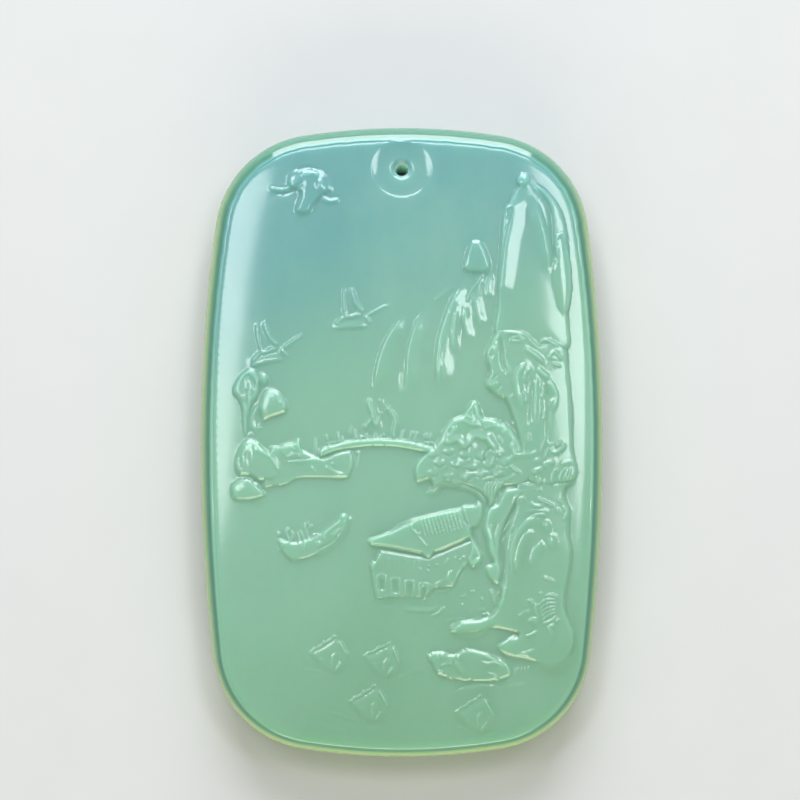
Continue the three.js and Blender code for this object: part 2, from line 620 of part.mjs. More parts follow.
// How far each grid point lies from the longer facets that would leave it out. A point carries
// the largest error of the finer points that depend on it, so facets always meet edge to edge.
function gridErrors(heights) {
  const line = faceCells + 1;
  const errors = new Float64Array(line * line);
  const care = (i, j) => {
    const x = (i * faceSpan) / faceCells - faceSpan / 2;
    const y = (j * faceSpan) / faceCells - faceSpan / 2;
    return Math.hypot(x, y - holeY) < dishRadius ? dishCare : 1;
  };
  const error = (i, j) => {
    const outside = i < 0 || j < 0 || i >= line || j >= line;
    return outside ? 0 : errors[j * line + i];
  };
  const record = (i, j, a, b, step, children) => {
    const own = Math.abs((heights[a] + heights[b]) / 2 - heights[j * line + i]);
    const worth = Math.min(1, (step * faceSpan) / faceCells / fineSpan);
    errors[j * line + i] = Math.max(own * worth * care(i, j), ...children);
  };
  for (let step = 2; step <= faceCells; step *= 2) {
    const half = step / 2;
    const quarter = half / 2;
    for (let j = 0; j < line; j += half) {
      for (let i = (j / half) % 2 === 0 ? half : 0; i < line; i += step) {
        const level = (j / half) % 2 === 0;
        const a = level ? j * line + i - half : (j - half) * line + i;
        const b = level ? j * line + i + half : (j + half) * line + i;
        const children = half === 1 ? [0] : [
          error(i - quarter, j - quarter), error(i + quarter, j - quarter),
          error(i - quarter, j + quarter), error(i + quarter, j + quarter)];
        record(i, j, a, b, step, children);
      }
    }
    for (let j = half; j < line; j += step) {
      for (let i = half; i < line; i += step) {
        const even = ((i - half) / step + (j - half) / step) % 2 === 0;
        const a = even ? (j - half) * line + i - half : (j - half) * line + i + half;
        const b = even ? (j + half) * line + i + half : (j + half) * line + i - half;
        record(i, j, a, b, step,
          [error(i - half, j), error(i + half, j), error(i, j - half), error(i, j + half)]);
      }
    }
  }
  return errors;
}

// Everything below the carved face, as one block with a flat bottom.
function faceBlock() {
  const line = faceCells + 1;
  const cell = faceSpan / faceCells;
  const heights = gridHeights();
  const errors = gridErrors(heights);
  const number = new Map();
  const points = [];
  const faces = [];
  const vertex = ([i, j]) => {
    const key = j * line + i;
    if (!number.has(key)) {
      number.set(key, points.length);
      points.push([i * cell - faceSpan / 2, j * cell - faceSpan / 2, heights[key]]);
    }
    return number.get(key);
  };
  const split = (a, b, c) => {
    const m = [(a[0] + b[0]) / 2, (a[1] + b[1]) / 2];
    const finest = Math.abs(a[0] - c[0]) + Math.abs(a[1] - c[1]) <= 1;
    if (!finest && errors[m[1] * line + m[0]] > faceTolerance) {
      split(c, a, m);
      split(b, c, m);
    } else {
      faces.push([vertex(a), vertex(b), vertex(c)]);
    }
  };
  const n = faceCells;
  split([n, n], [0, 0], [n, 0]);
  split([0, 0], [n, n], [0, n]);
  for (const face of faces) {
    const [a, b, c] = face.map((k) => points[k]);
    const turn = (b[0] - a[0]) * (c[1] - a[1]) - (b[1] - a[1]) * (c[0] - a[0]);
    if (turn < 0) {
      face.reverse();
    }
  }
  const open = new Map();
  for (const [a, b, c] of faces) {
    for (const [from, to] of [[a, b], [b, c], [c, a]]) {
      if (!open.delete(`${to},${from}`)) {
        open.set(`${from},${to}`, [from, to]);
      }
    }
  }
  const lowered = new Map();
  const bottom = edgeLevel - cutReach;
  const below = (k) => {
    if (!lowered.has(k)) {
      lowered.set(k, points.length);
      points.push([points[k][0], points[k][1], bottom]);
    }
    return lowered.get(k);
  };
  const centre = points.length;
  points.push([0, 0, bottom]);
  for (const [from, to] of open.values()) {
    faces.push([to, from, below(from)], [to, below(from), below(to)]);
    faces.push([below(to), below(from), centre]);
  }
  return toSolid(closedGeometry(points, faces));
}

// The pocket that the carved face lies in: its wall is the crease.
function makePocket() {
  const wall = outline.map((p) => {
    const up = p.y / (height / 2);
    const distance = creaseInset + creaseDrift * up ** 3;
    return { x: p.x - p.nx * distance, y: p.y - p.ny * distance };
  });
  const aboveFace = edgeLevel + shoulderRise + cushionRise + cutReach;
  return loft([edgeLevel, aboveFace].map((z) => wall.map((p) => [p.x, p.y, z])));
}

// ---- Cord hole with a rounded mouth on both sides --------------------------------------------

function makeHole() {
  const round = mouthRadius - holeRadius;
  const mouth = groundHeight(0, holeY) - dishDepth;
  const waist = holeRadius + round * mouthAcross;
  const profile = [
    [0, -cutReach],
    [mouthRadius, -cutReach],
    [mouthRadius, 0],
    [waist, round * mouthDown],
    [holeRadius, round],
    [holeRadius, mouth - round],
    [waist, mouth - round * mouthDown],
    [mouthRadius, mouth + mouthLip],
    [mouthRadius, mouth + cutReach],
    [0, mouth + cutReach],
  ];
  const lathe = new THREE.LatheGeometry(
    profile.map(([r, z]) => new THREE.Vector2(r, z)), holeFacets);
  lathe.rotateX(Math.PI / 2);
  lathe.translate(0, holeY, 0);
  return toSolid(lathe);
}

// ---- The plaque --------------------------------------------------------------------------

function makePlaque() {
  carveLandscape();
  const pocket = makePocket().subtract(faceBlock());
  return fromSolid(makeBlank().subtract(pocket).subtract(makeHole()));
}

const jade = new THREE.MeshStandardMaterial({
  color: 0x8fc3a8,
  roughness: 0.16,
  metalness: 0,
});

const object = new THREE.Group();
const plaque = new THREE.Mesh(makePlaque(), jade);
plaque.name = 'plaque';
object.add(plaque);

export default object;
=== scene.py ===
"""A carved jade plaque, dressed: the finely carved stone, its finish, a pale stage and soft light."""

import math

import bmesh
import bpy
import numpy as np
from bpy.props import FloatProperty, FloatVectorProperty, PointerProperty
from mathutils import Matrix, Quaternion, Vector
from mathutils.geometry import delaunay_2d_cdt


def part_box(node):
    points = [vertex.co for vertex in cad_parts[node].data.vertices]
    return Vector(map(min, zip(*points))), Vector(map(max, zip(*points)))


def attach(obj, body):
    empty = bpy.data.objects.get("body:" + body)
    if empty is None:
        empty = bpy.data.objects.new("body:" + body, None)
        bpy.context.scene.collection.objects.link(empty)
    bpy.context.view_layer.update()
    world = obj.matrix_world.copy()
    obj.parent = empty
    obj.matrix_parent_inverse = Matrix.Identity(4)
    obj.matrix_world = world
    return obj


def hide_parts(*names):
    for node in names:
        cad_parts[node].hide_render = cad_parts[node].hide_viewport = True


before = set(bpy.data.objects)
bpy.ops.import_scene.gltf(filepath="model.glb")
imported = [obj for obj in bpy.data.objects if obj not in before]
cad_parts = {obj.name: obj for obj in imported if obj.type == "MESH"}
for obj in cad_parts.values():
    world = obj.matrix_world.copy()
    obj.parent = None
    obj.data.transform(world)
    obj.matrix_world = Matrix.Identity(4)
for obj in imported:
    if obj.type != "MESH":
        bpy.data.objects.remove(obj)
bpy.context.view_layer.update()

bl_info = {
    "name": "Carved Jade Plaque",
    "version": (1, 0, 0),
    "blender": (4, 5, 0),
    "location": "View3D > Sidebar > Jade Plaque",
    "description": "Builds a carved jade plaque with its finish, stage and light",
    "category": "Object",
}

NODE_LOW, NODE_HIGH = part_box("plaque")
MM = 0.001
WIDTH = (NODE_HIGH[0] - NODE_LOW[0]) / MM
HEIGHT = (NODE_HIGH[1] - NODE_LOW[1]) / MM

# Outline arcs and edges, in millimetres, as the solid has them.
SIDE_BOW = 173.0
END_BOW = 62.0
CORNER_RADIUS = 10.5
EDGE_LEVEL = 3.3
BACK_ROUND = 3.4
ROUNDNESS = 2.3
HOLE_RADIUS = 0.65
HOLE_Y = 26.9
MOUTH_RADIUS = 1.25
BACK_MOUTH = 1.1
DISH_RADIUS = 3.05

GRID = 512                # cells along each side of the face grid
OUTLINE_STEPS = 7200      # samples of the outline that everything else is read from
CREASE_STEPS = 5          # rings down into the crease, and as many up its far side
RIM_STEPS = 15            # rings from the crease to the widest line
BACK_STEPS = 14           # rings from the widest line to the flat back
HOLE_SIDES = 72           # points round the cord hole
MOUTH_STEPS = 9           # rings over each rounded mouth of the hole
BORE_STEPS = 26           # rings down the bore


# ---- Settings a user would change -----------------------------------------------------------


class PlaqueForm(bpy.types.PropertyGroup):
    """Sizes of the stone's edges and face."""

    shoulder_rise: FloatProperty(
        name="Shoulder rise", description="From the widest line up to the full shoulder",
        default=2.5 * MM, unit="LENGTH")
    rim_share: FloatProperty(
        name="Rim share", description="Share of the edge's round that the crease leaves",
        default=0.6, min=0.2, max=1.0)
    cushion_rise: FloatProperty(
        name="Cushion rise", description="From the shoulder up to the middle of the face",
        default=1.33 * MM, unit="LENGTH")
    cushion_fall: FloatProperty(
        name="Cushion fall", description="How late the face starts to fall", default=2.8)
    cushion_square: FloatProperty(
        name="Cushion squareness", description="How square the cushion's level lines are",
        default=4.0)
    crease_inset: FloatProperty(
        name="Crease inset", description="Crease line, in from the outline at mid height",
        default=1.3 * MM, unit="LENGTH")
    crease_depth: FloatProperty(
        name="Crease depth", description="Depth of the groove between rim and face",
        default=0.1 * MM, unit="LENGTH")
    crease_width: FloatProperty(
        name="Crease width", description="Width of the groove between rim and face",
        default=0.3 * MM, unit="LENGTH")
    dish_depth: FloatProperty(
        name="Dish depth", description="Shallow dish round the cord hole",
        default=0.14 * MM, unit="LENGTH")


class PlaqueCarving(bpy.types.PropertyGroup):
    """Depths of the carver's marks."""

    ground_rise: FloatProperty(
        name="Ground rise", description="How far rocks and buildings stand above the face",
        default=0.3 * MM, unit="LENGTH")
    detail: FloatProperty(
        name="Detail", description="Largest error of the carved surface",
        default=0.0035 * MM, unit="LENGTH")


class JadeFinish(bpy.types.PropertyGroup):
    """Colours and polish of the stone, with the painted shade of its rim and the painted glow of its
    thin edge.
    """

    upper: FloatVectorProperty(
        name="Upper tone", description="Bluish tone of the top", subtype="COLOR",
        size=3, default=(0.165, 0.39, 0.385))
    middle: FloatVectorProperty(
        name="Middle tone", description="Lighter tone of the middle", subtype="COLOR",
        size=3, default=(0.27, 0.50, 0.37))
    lower: FloatVectorProperty(
        name="Lower tone", description="Greener tone of the foot", subtype="COLOR",
        size=3, default=(0.235, 0.45, 0.30))
    # Painted shade: the rim outside the crease is coloured a deep green darker than the body, in
    # place of the shade it falls into.
    shade: FloatVectorProperty(
        name="Rim painted shade", description="Deep green of the rim outside the crease",
        subtype="COLOR", size=3, default=(0.10, 0.27, 0.19))
    # Painted glow: the thin outer edge is coloured a pale yellow-green, in place of light coming
    # through the stone there.
    edge: FloatVectorProperty(
        name="Edge painted glow", description="Yellow-green tone of the thin outer edge",
        subtype="COLOR", size=3, default=(0.36, 0.52, 0.24))
    milk: FloatVectorProperty(
        name="Milk tone", description="Tone of the pale clouds in the stone", subtype="COLOR",
        size=3, default=(0.34, 0.57, 0.45))
    roughness: FloatProperty(
        name="Polish", description="Roughness of the polished face", default=0.09,
        min=0.0, max=1.0, subtype="FACTOR")


class StageLook(bpy.types.PropertyGroup):
    """Floor and lights."""

    floor: FloatVectorProperty(
        name="Floor", description="Colour of the floor", subtype="COLOR",
        size=3, default=(0.66, 0.66, 0.65))
    box_power: FloatProperty(
        name="Side boxes", description="Brightness of the two softboxes above", default=6.2)
    panel_power: FloatProperty(
        name="Top panel", description="Brightness of the panel behind the top", default=7.0)
    foot_power: FloatProperty(
        name="Foot panel", description="Brightness of the low warm panel", default=4.5)
    ambient: FloatProperty(
        name="Ambient", description="Strength of the even light all round", default=0.33)


# ---- Outline --------------------------------------------------------------------------------


def corner_centre():
    """Centre of the corner arc, which touches the side arc and the end arc from inside."""
    sx, sy, sr = WIDTH / 2 - SIDE_BOW, 0.0, SIDE_BOW - CORNER_RADIUS
    ex, ey, er = 0.0, HEIGHT / 2 - END_BOW, END_BOW - CORNER_RADIUS
    dx, dy = ex - sx, ey - sy
    gap = math.hypot(dx, dy)
    along = (sr ** 2 - er ** 2 + gap ** 2) / (2 * gap)
    across = math.sqrt(sr ** 2 - along ** 2)
    return sx + (along * dx - across * dy) / gap, sy + (along * dy + across * dx) / gap


CORNER_X, CORNER_Y = corner_centre()
SIDE_TURN = math.atan2(CORNER_Y, CORNER_X - (WIDTH / 2 - SIDE_BOW))
END_TURN = math.atan2(CORNER_Y - (HEIGHT / 2 - END_BOW), CORNER_X)


def quarter_outline(count):
    """Points and outward directions along a quarter of the outline, evenly by length."""
    arcs = (
        (WIDTH / 2 - SIDE_BOW, 0.0, SIDE_BOW, 0.0, SIDE_TURN),
        (CORNER_X, CORNER_Y, CORNER_RADIUS, SIDE_TURN, END_TURN),
        (0.0, HEIGHT / 2 - END_BOW, END_BOW, END_TURN, math.pi / 2),
    )
    lengths = np.array([radius * (to - start) for _, _, radius, start, to in arcs])
    ends = np.concatenate([[0.0], np.cumsum(lengths)])
    way = np.linspace(0.0, ends[-1], count, endpoint=False)
    points = np.zeros((count, 4))
    for k, (cx, cy, radius, start, _) in enumerate(arcs):
        mine = (way >= ends[k]) & (way < ends[k + 1])
        turn = start + (way[mine] - ends[k]) / radius
        nx, ny = np.cos(turn), np.sin(turn)
        points[mine] = np.stack([cx + radius * nx, cy + radius * ny, nx, ny], axis=1)
    return points


def whole_outline():
    """Outline points (x, y, outward x, outward y), counter-clockwise from the right side."""
    quarter = quarter_outline(OUTLINE_STEPS // 4)
    top = np.array([[0.0, HEIGHT / 2, 0.0, 1.0]])
    left = quarter[:0:-1] * np.array([-1.0, 1.0, -1.0, 1.0])
    half = np.vstack([quarter, top, left])
    return np.vstack([half, -half])


OUTLINE = whole_outline()


def distance_in(x, y):
    """How far points lie in from the outline."""
    px, py = np.abs(x), np.abs(y)
    side = SIDE_BOW - np.hypot(px - (WIDTH / 2 - SIDE_BOW), py)
    end = END_BOW - np.hypot(px, py - (HEIGHT / 2 - END_BOW))
    corner = CORNER_RADIUS - np.hypot(px - CORNER_X, py - CORNER_Y)
    turn = np.arctan2(py - CORNER_Y, px - CORNER_X)
    return np.where((turn > SIDE_TURN) & (turn < END_TURN), corner, np.minimum(side, end))


# ---- Form of the stone -----------------------------------------------------------------------


def edge_rise(distance, reach, rise):
    out = 1 - np.clip(distance / reach, 0, 1)
    return rise * (1 - out ** ROUNDNESS) ** (1 / ROUNDNESS)


class Form:
    """The stone without its carving, in millimetres."""

    def __init__(self, settings):
        self.shoulder = settings.shoulder_rise / MM
        self.share = settings.rim_share
        self.rise = settings.cushion_rise / MM
        self.fall = settings.cushion_fall
        self.square = settings.cushion_square
        self.inset = settings.crease_inset / MM
        self.depth = settings.crease_depth / MM
        self.width = settings.crease_width / MM
        self.dish = settings.dish_depth / MM
        self.level = float(self.rim(1.0, 1.0))

    def cushion(self, x, y):
        u, v = np.abs(x) / (WIDTH / 2), np.abs(y) / (HEIGHT / 2)
        reach = np.minimum((u ** self.square + v ** self.square) ** (1 / self.square), 1)
        return self.rise * (1 - reach ** self.fall)

    def rim(self, distance, inset):
        """Height of the rim without the cushion, which is added later by its own rule."""
        return EDGE_LEVEL + edge_rise(distance, inset / self.share, self.shoulder)

    def crease_line(self):
        """Distance of the crease from the outline: wider at the top, slightly hand-wandering."""
        up = OUTLINE[:, 1] / (HEIGHT / 2)
        way = np.arange(len(OUTLINE)) / len(OUTLINE) * 2 * math.pi
        long_waves, short_waves = 61, 97
        wander = 0.022 * np.sin(long_waves * way + 0.7) + 0.018 * np.sin(short_waves * way)
        return self.inset + 0.5 * up ** 3 + wander * np.clip(up + 0.3, 0, 1)

    def crease_at(self, x, y):
        """Depth of the crease, which dies out at the top middle and softens at the foot."""
        gap = 1 - 0.9 * np.exp(-((x + 0.4) / 1.3) ** 2) * (y > 0)
        return self.depth * gap * (0.8 + 0.2 * np.clip(y / 10, -1, 1))

    def roll_at(self, x, y):
        """The face rolls off a little before the crease on its right side and at the foot."""
        inside = np.clip(1 - (distance_in(x, y) - self.inset) / 0.85, 0, 1)
        return -0.06 * inside ** 2 * np.clip(0.5 + x / 16 - y / 60, 0, 1)

    def dish_at(self, x, y):
        out = np.hypot(x, y - HOLE_Y)
        bowl = -self.dish * np.clip(1 - (out / DISH_RADIUS) ** 6, 0, 1)
        below = np.clip((HOLE_Y - y) / DISH_RADIUS, 0, 1)
        tool_depth, tool_width = 0.018, 0.07
        for radius in (2.2, 2.5, 2.8):
            mark = np.exp(-((out - radius) / tool_width) ** 2)
            bowl = bowl - tool_depth * below ** 2 * mark
        return bowl


# ---- Carver's marks ---------------------------------------------------------------------------


def ease(t):
    t = np.clip(t, 0, 1)
    return t * t * (3 - 2 * t)


def smooth_line(points, closed=False, per_mm=4):
    """A curve through a few points."""
    p = np.array(points, dtype=float)
    if closed:
        p = np.vstack([p[-1], p, p[0], p[1]])
    else:
        p = np.vstack([2 * p[0] - p[1], p, 2 * p[-1] - p[-2]])
    parts = []
    for a, b, c, d in zip(p[:-3], p[1:-2], p[2:-1], p[3:]):
        count = max(3, int(math.hypot(*(c - b)) * per_mm))
        t = np.linspace(0, 1, count, endpoint=False)[:, None]
        parts.append(0.5 * (2 * b + (c - a) * t + (2 * a - 5 * b + 4 * c - d) * t ** 2
                            + (3 * b - a - 3 * c + d) * t ** 3))
    return np.vstack(parts + [p[-2][None]])


def straight_line(points):
    p = np.array(points, dtype=float)
    return np.vstack([p, p[:1]])


class Carving:
    """Heights cut into the face at every point of the face grid, in millimetres."""

    def __init__(self, x, y, settings):
        self.x, self.y = x, y
        self.base = np.zeros_like(x)
        self.lines = np.zeros_like(x)
        self.ground = settings.ground_rise / MM

    def near(self, line, margin):
        """Points near a line: their numbers, distance, side and way along it."""
        low, high = line.min(axis=0) - margin, line.max(axis=0) + margin
        chosen = np.nonzero((self.x > low[0]) & (self.x < high[0])
                            & (self.y > low[1]) & (self.y < high[1]))[0]
        x, y = self.x[chosen], self.y[chosen]
        best = np.full(len(chosen), 1e9)
        side = np.ones(len(chosen))
        along = np.zeros(len(chosen))
        count = len(line) - 1
        for i in range(count):
            (ax, ay), (bx, by) = line[i], line[i + 1]
            dx, dy = bx - ax, by - ay
            length = dx * dx + dy * dy
            if length < 1e-12:
                continue
            t = np.clip(((x - ax) * dx + (y - ay) * dy) / length, 0, 1)
            d = (x - ax - dx * t) ** 2 + (y - ay - dy * t) ** 2
            closer = d < best
            best[closer] = d[closer]
            side[closer] = np.sign(dx * (y - ay) - dy * (x - ax))[closer]
            along[closer] = (i + t[closer]) / count
        return chosen, np.sqrt(best), side, along

    def inside(self, line, chosen):
        x, y = self.x[chosen], self.y[chosen]
        odd = np.zeros(len(chosen), dtype=bool)
        for (ax, ay), (bx, by) in zip(line[:-1], line[1:]):
            if ay == by:
                continue
            cross = (ay > y) != (by > y)
            odd ^= cross & (x < ax + (bx - ax) * (y - ay) / (by - ay))
        return odd

    def plate(self, outline, rise, edge=0.5, smooth=True, crown=0.0, reach=2.0):
        """Ground raised inside a closed line, with a rounded step all round and a low crown."""
        line = smooth_line(outline, closed=True) if smooth else straight_line(outline)
        chosen, d, _, _ = self.near(line, 0.0)
        body = rise * ease(d / edge) + crown * (1 - np.exp(-(d / reach) ** 2))
        body = np.where(self.inside(line, chosen), body, 0)
        self.base[chosen] = np.maximum(self.base[chosen], body)

    def knob(self, x, y, rx, ry, rise, turn=0.0, base=0.0):
        """A rounded oval knob."""
        reach = max(rx, ry)
        chosen = np.nonzero((abs(self.x - x) < reach) & (abs(self.y - y) < reach))[0]
        c, s = math.cos(turn), math.sin(turn)
        dx, dy = self.x[chosen] - x, self.y[chosen] - y
        r2 = ((c * dx + s * dy) / rx) ** 2 + ((c * dy - s * dx) / ry) ** 2
        body = np.where(r2 < 1, base + rise * np.clip(1 - r2, 0, 1) ** 0.75, 0)
        self.base[chosen] = np.maximum(self.base[chosen], body)

    def bead(self, x, y, rx, ry, rise, turn=0.0):
        """A small bump added on whatever lies below it."""
        reach = max(rx, ry)
        chosen = np.nonzero((abs(self.x - x) < reach) & (abs(self.y - y) < reach))[0]
        c, s = math.cos(turn), math.sin(turn)
        dx, dy = self.x[chosen] - x, self.y[chosen] - y
        r2 = ((c * dx + s * dy) / rx) ** 2 + ((c * dy - s * dx) / ry) ** 2
        self.lines[chosen] += rise * np.clip(1 - r2, 0, 1) ** 2

    def ridge(self, points, half, rise, taper=0.5):
        """A raised line, full in its middle and dying out at both ends."""
        line = smooth_line(points)
        chosen, d, _, along = self.near(line, half)
        swell = np.clip(np.minimum(along, 1 - along) / max(taper * 0.5, 1e-3), 0, 1)
        body = rise * np.sqrt(ease(swell) * 0.999 + 0.001) * (1 - ease(d / half))
        self.lines[chosen] += body

    def groove(self, points, half, depth, taper=0.5):
        """A cut line."""
        self.ridge(points, half, -depth, taper)

    def step(self, points, rise, crisp=0.3, fade=1.5, taper=0.5):
        """A step: crisp on the left of the line's direction, fading away on its right."""
        line = smooth_line(points)
        chosen, d, side, along = self.near(line, max(crisp, fade))
        swell = ease(np.clip(np.minimum(along, 1 - along) / max(taper * 0.5, 1e-3), 0, 1))
        reach = np.where(side > 0, crisp, fade)
        self.lines[chosen] += rise * swell * (1 - ease(d / reach))

    def facet(self, x, y, rx, ry, slope_x, slope_y, turn=0.0):
        """A small flat facet, tilted by the given slopes."""
        reach = max(rx, ry)
        chosen = np.nonzero((abs(self.x - x) < reach) & (abs(self.y - y) < reach))[0]
        c, s = math.cos(turn), math.sin(turn)
        dx, dy = self.x[chosen] - x, self.y[chosen] - y
        r2 = ((c * dx + s * dy) / rx) ** 2 + ((c * dy - s * dx) / ry) ** 2
        weight = ease(1.6 * (1 - np.sqrt(np.clip(r2, 0, 1))))
        self.lines[chosen] += weight * (slope_x * dx + slope_y * dy)


# ---- The landscape ------------------------------------------------------------------------------


def carve_cloud(c, x, y):
    """A cloud like a mushroom cap with a curled foot on each side."""
    c.plate([(x - 1.4, y + 0.9), (x - 0.9, y + 1.4), (x, y + 1.5), (x + 1.0, y + 1.0),
             (x + 1.7, y + 0.2), (x + 2.0, y - 1.0), (x + 1.2, y - 1.7), (x + 0.4, y - 2.6),
             (x, y - 3.4), (x - 1.6, y - 3.2), (x - 1.2, y - 1.2), (x - 2.1, y - 0.8),
             (x - 2.2, y + 0.2)], c.ground * 0.8, 0.55, crown=0.06)
    c.facet(x - 0.1, y + 1.0, 1.4, 0.62, 0.05, -0.22)
    c.ridge([(x - 1.0, y + 1.2), (x - 1.9, y + 0.5), (x - 2.1, y - 0.7)], 0.34, 0.1)
    c.ridge([(x - 2.0, y - 0.7), (x - 2.9, y - 0.95), (x - 4.2, y - 0.65)], 0.35, 0.1)
    c.groove([(x - 0.5, y - 0.1), (x - 1.2, y - 0.5), (x - 2.4, y - 1.2), (x - 3.9, y - 1.1)],
             0.4, 0.09)
    c.ridge([(x + 0.9, y + 1.1), (x + 1.7, y + 0.1), (x + 2.1, y - 1.2)], 0.34, 0.1)
    c.bead(x + 0.95, y - 0.4, 0.55, 0.85, 0.12)
    c.step([(x + 3.0, y - 1.9), (x + 1.9, y - 2.1), (x + 1.0, y - 1.6)], 0.13, 0.35, 0.6)
    c.groove([(x + 1.2, y - 1.35), (x + 2.0, y - 1.75), (x + 2.9, y - 1.6)], 0.22, 0.07)


def carve_bird(c, x, y, turn):
    """A bird on the wing above the line that it skims."""
    cos, sin = math.cos(turn), math.sin(turn)

    def at(u, v):
        return x + u * cos - v * sin, y + u * sin + v * cos

    c.ridge([at(-1.2, 2.4), at(-1.25, 1.2), at(-1.1, -0.4)], 0.24, 0.13)
    c.ridge([at(-0.5, 2.5), at(-0.15, 1.1), at(0.55, 0.0)], 0.34, 0.17)
    c.ridge([at(-2.1, -1.3), at(-1.7, -0.9), at(-1.2, -0.5)], 0.26, 0.12)
    c.ridge([at(-1.3, -0.4), at(-0.6, -0.5), at(0.4, -0.15)], 0.28, 0.12)
    c.ridge([at(0.8, -0.5), at(1.1, -0.7), at(1.45, -1.2)], 0.24, 0.14)
    c.ridge([at(0.9, -0.45), at(1.9, 0.1), at(3.3, 0.8)], 0.2, 0.1)
    c.step([at(1.3, -1.5), at(-0.4, -1.45), at(-2.6, -1.75)], 0.12, 0.2, 0.8)


def carve_tall_peak(c):
    """The tall peak at the right, its knob, its facets and the valley down its right flank."""
    c.plate([(11.4, 25.0), (12.0, 25.6), (12.9, 25.7), (14.8, 24.4), (16.2, 22), (16.7, 18),
             (16.6, 12), (16.2, 8.5), (9.6, 9.5), (9.35, 13), (9.5, 17), (9.95, 22.3),
             (10.6, 23.6)], c.ground, 0.4, crown=0.05)
    c.knob(12.15, 25.65, 0.62, 0.75, 0.2, base=0.25)
    c.facet(12.1, 25.7, 0.55, 0.6, 0.1, -0.1)
    c.step([(9.6, 13.4), (10.0, 16), (10.4, 19.4), (11.0, 22), (11.5, 24.6)], 0.16, 0.3, 1.6, 0.3)
    c.ridge([(10.2, 22.7), (10.7, 22.9), (11.2, 22.9)], 0.2, 0.1)
    c.facet(10.6, 22.2, 0.5, 0.9, 0.12, 0.0)
    c.groove([(10.4, 21.0), (10.6, 21.3), (11.0, 22.7)], 0.18, 0.06)
    c.ridge([(10.8, 23.0), (11.1, 24.2), (11.4, 24.7)], 0.22, 0.08)
    c.step([(14.75, 16.2), (14.5, 18.2), (14.1, 20.4), (13.6, 22.2), (12.9, 24.2)],
           0.22, 1.4, 0.5, 0.7)
    c.groove([(12.7, 25.6), (13.5, 24.7), (14.3, 23.6), (14.8, 22.2), (15.0, 19.5), (15.1, 16.4)],
             0.42, 0.2, 0.6)
    c.knob(15.85, 16.2, 0.95, 4.1, 0.16, 0.06, base=c.ground)
    c.ridge([(15.2, 19.3), (15.5, 20.0), (16.0, 20.2), (16.5, 19.6)], 0.24, 0.09)
    c.groove([(15.15, 19.0), (15.3, 18.3), (15.4, 17.5)], 0.28, 0.14)
    c.ridge([(15.4, 18.9), (15.5, 18.2)], 0.2, 0.12)


def carve_egg(c, x, y):
    """The egg-shaped boulder in the gap between the peaks, with a raised line round it."""
    c.plate([(x - 1.35, y - 1.2), (x - 1.15, y + 0.4), (x - 0.6, y + 1.6), (x, y + 1.8),
             (x + 0.6, y + 1.6), (x + 1.25, y + 0.4), (x + 1.45, y - 1.2), (x, y - 1.6)],
            c.ground * 0.75, 0.4, crown=0.04, reach=0.8)
    c.groove([(x - 1.0, y - 0.9), (x - 0.85, y + 0.5), (x - 0.4, y + 1.3)], 0.16, 0.05)
    c.groove([(x + 0.5, y + 1.4), (x + 0.95, y + 0.5), (x + 1.2, y - 0.6)], 0.16, 0.05)


def carve_middle_mountain(c):
    """Long folds of the middle mountain, each falling to the left and steepening."""
    c.step([(-2.8, 4.0), (-2.6, 5.4), (-2.15, 7.6), (-1.4, 9.6), (-0.5, 10.9), (0.75, 12.1)],
           0.2, 0.34, 1.9, 0.5)
    c.step([(0.3, 3.3), (0.5, 5.4), (0.65, 8.0), (1.15, 10.2), (1.7, 11.6), (2.5, 12.8)],
           0.18, 0.3, 1.6, 0.6)
    c.ridge([(0.05, 3.8), (-0.1, 5.2), (0.0, 6.5)], 0.22, 0.06)
    c.step([(3.85, 4.0), (3.55, 6.6), (3.75, 9.2), (4.5, 11.9), (5.4, 13.9), (6.4, 15.1)],
           0.26, 0.42, 2.2, 0.4)
    c.groove([(3.85, 4.6), (3.85, 7.2), (4.1, 9.6)], 0.2, 0.07)
    c.step([(5.15, 7.9), (5.1, 10.2), (5.5, 12.9)], 0.14, 0.3, 0.9)
    c.groove([(5.45, 9.0), (5.5, 10.8), (5.65, 12.6)], 0.18, 0.05)
    c.step([(6.9, 9.2), (6.4, 10.4), (6.2, 11.6), (6.3, 13.1)], 0.14, 0.28, 0.9)
    c.step([(8.0, 10.8), (7.6, 11.8), (7.35, 13.0), (7.2, 14.2)], 0.14, 0.28, 0.9)
    c.ridge([(6.6, 13.3), (6.7, 14.1), (7.2, 14.9)], 0.2, 0.09)
    c.ridge([(6.9, 14.6), (7.5, 15.2), (8.0, 16.1)], 0.22, 0.1)
    c.ridge([(7.8, 13.8), (7.7, 14.8), (8.1, 15.6)], 0.2, 0.09)
    c.step([(8.6, 13.6), (8.6, 15.0), (8.9, 16.1)], 0.12, 0.4, 0.7)
    c.ridge([(4.6, 12.1), (4.6, 12.6)], 0.14, 0.06)
    c.ridge([(3.0, 13.3), (3.6, 13.7), (5.2, 14.9)], 0.35, 0.05)


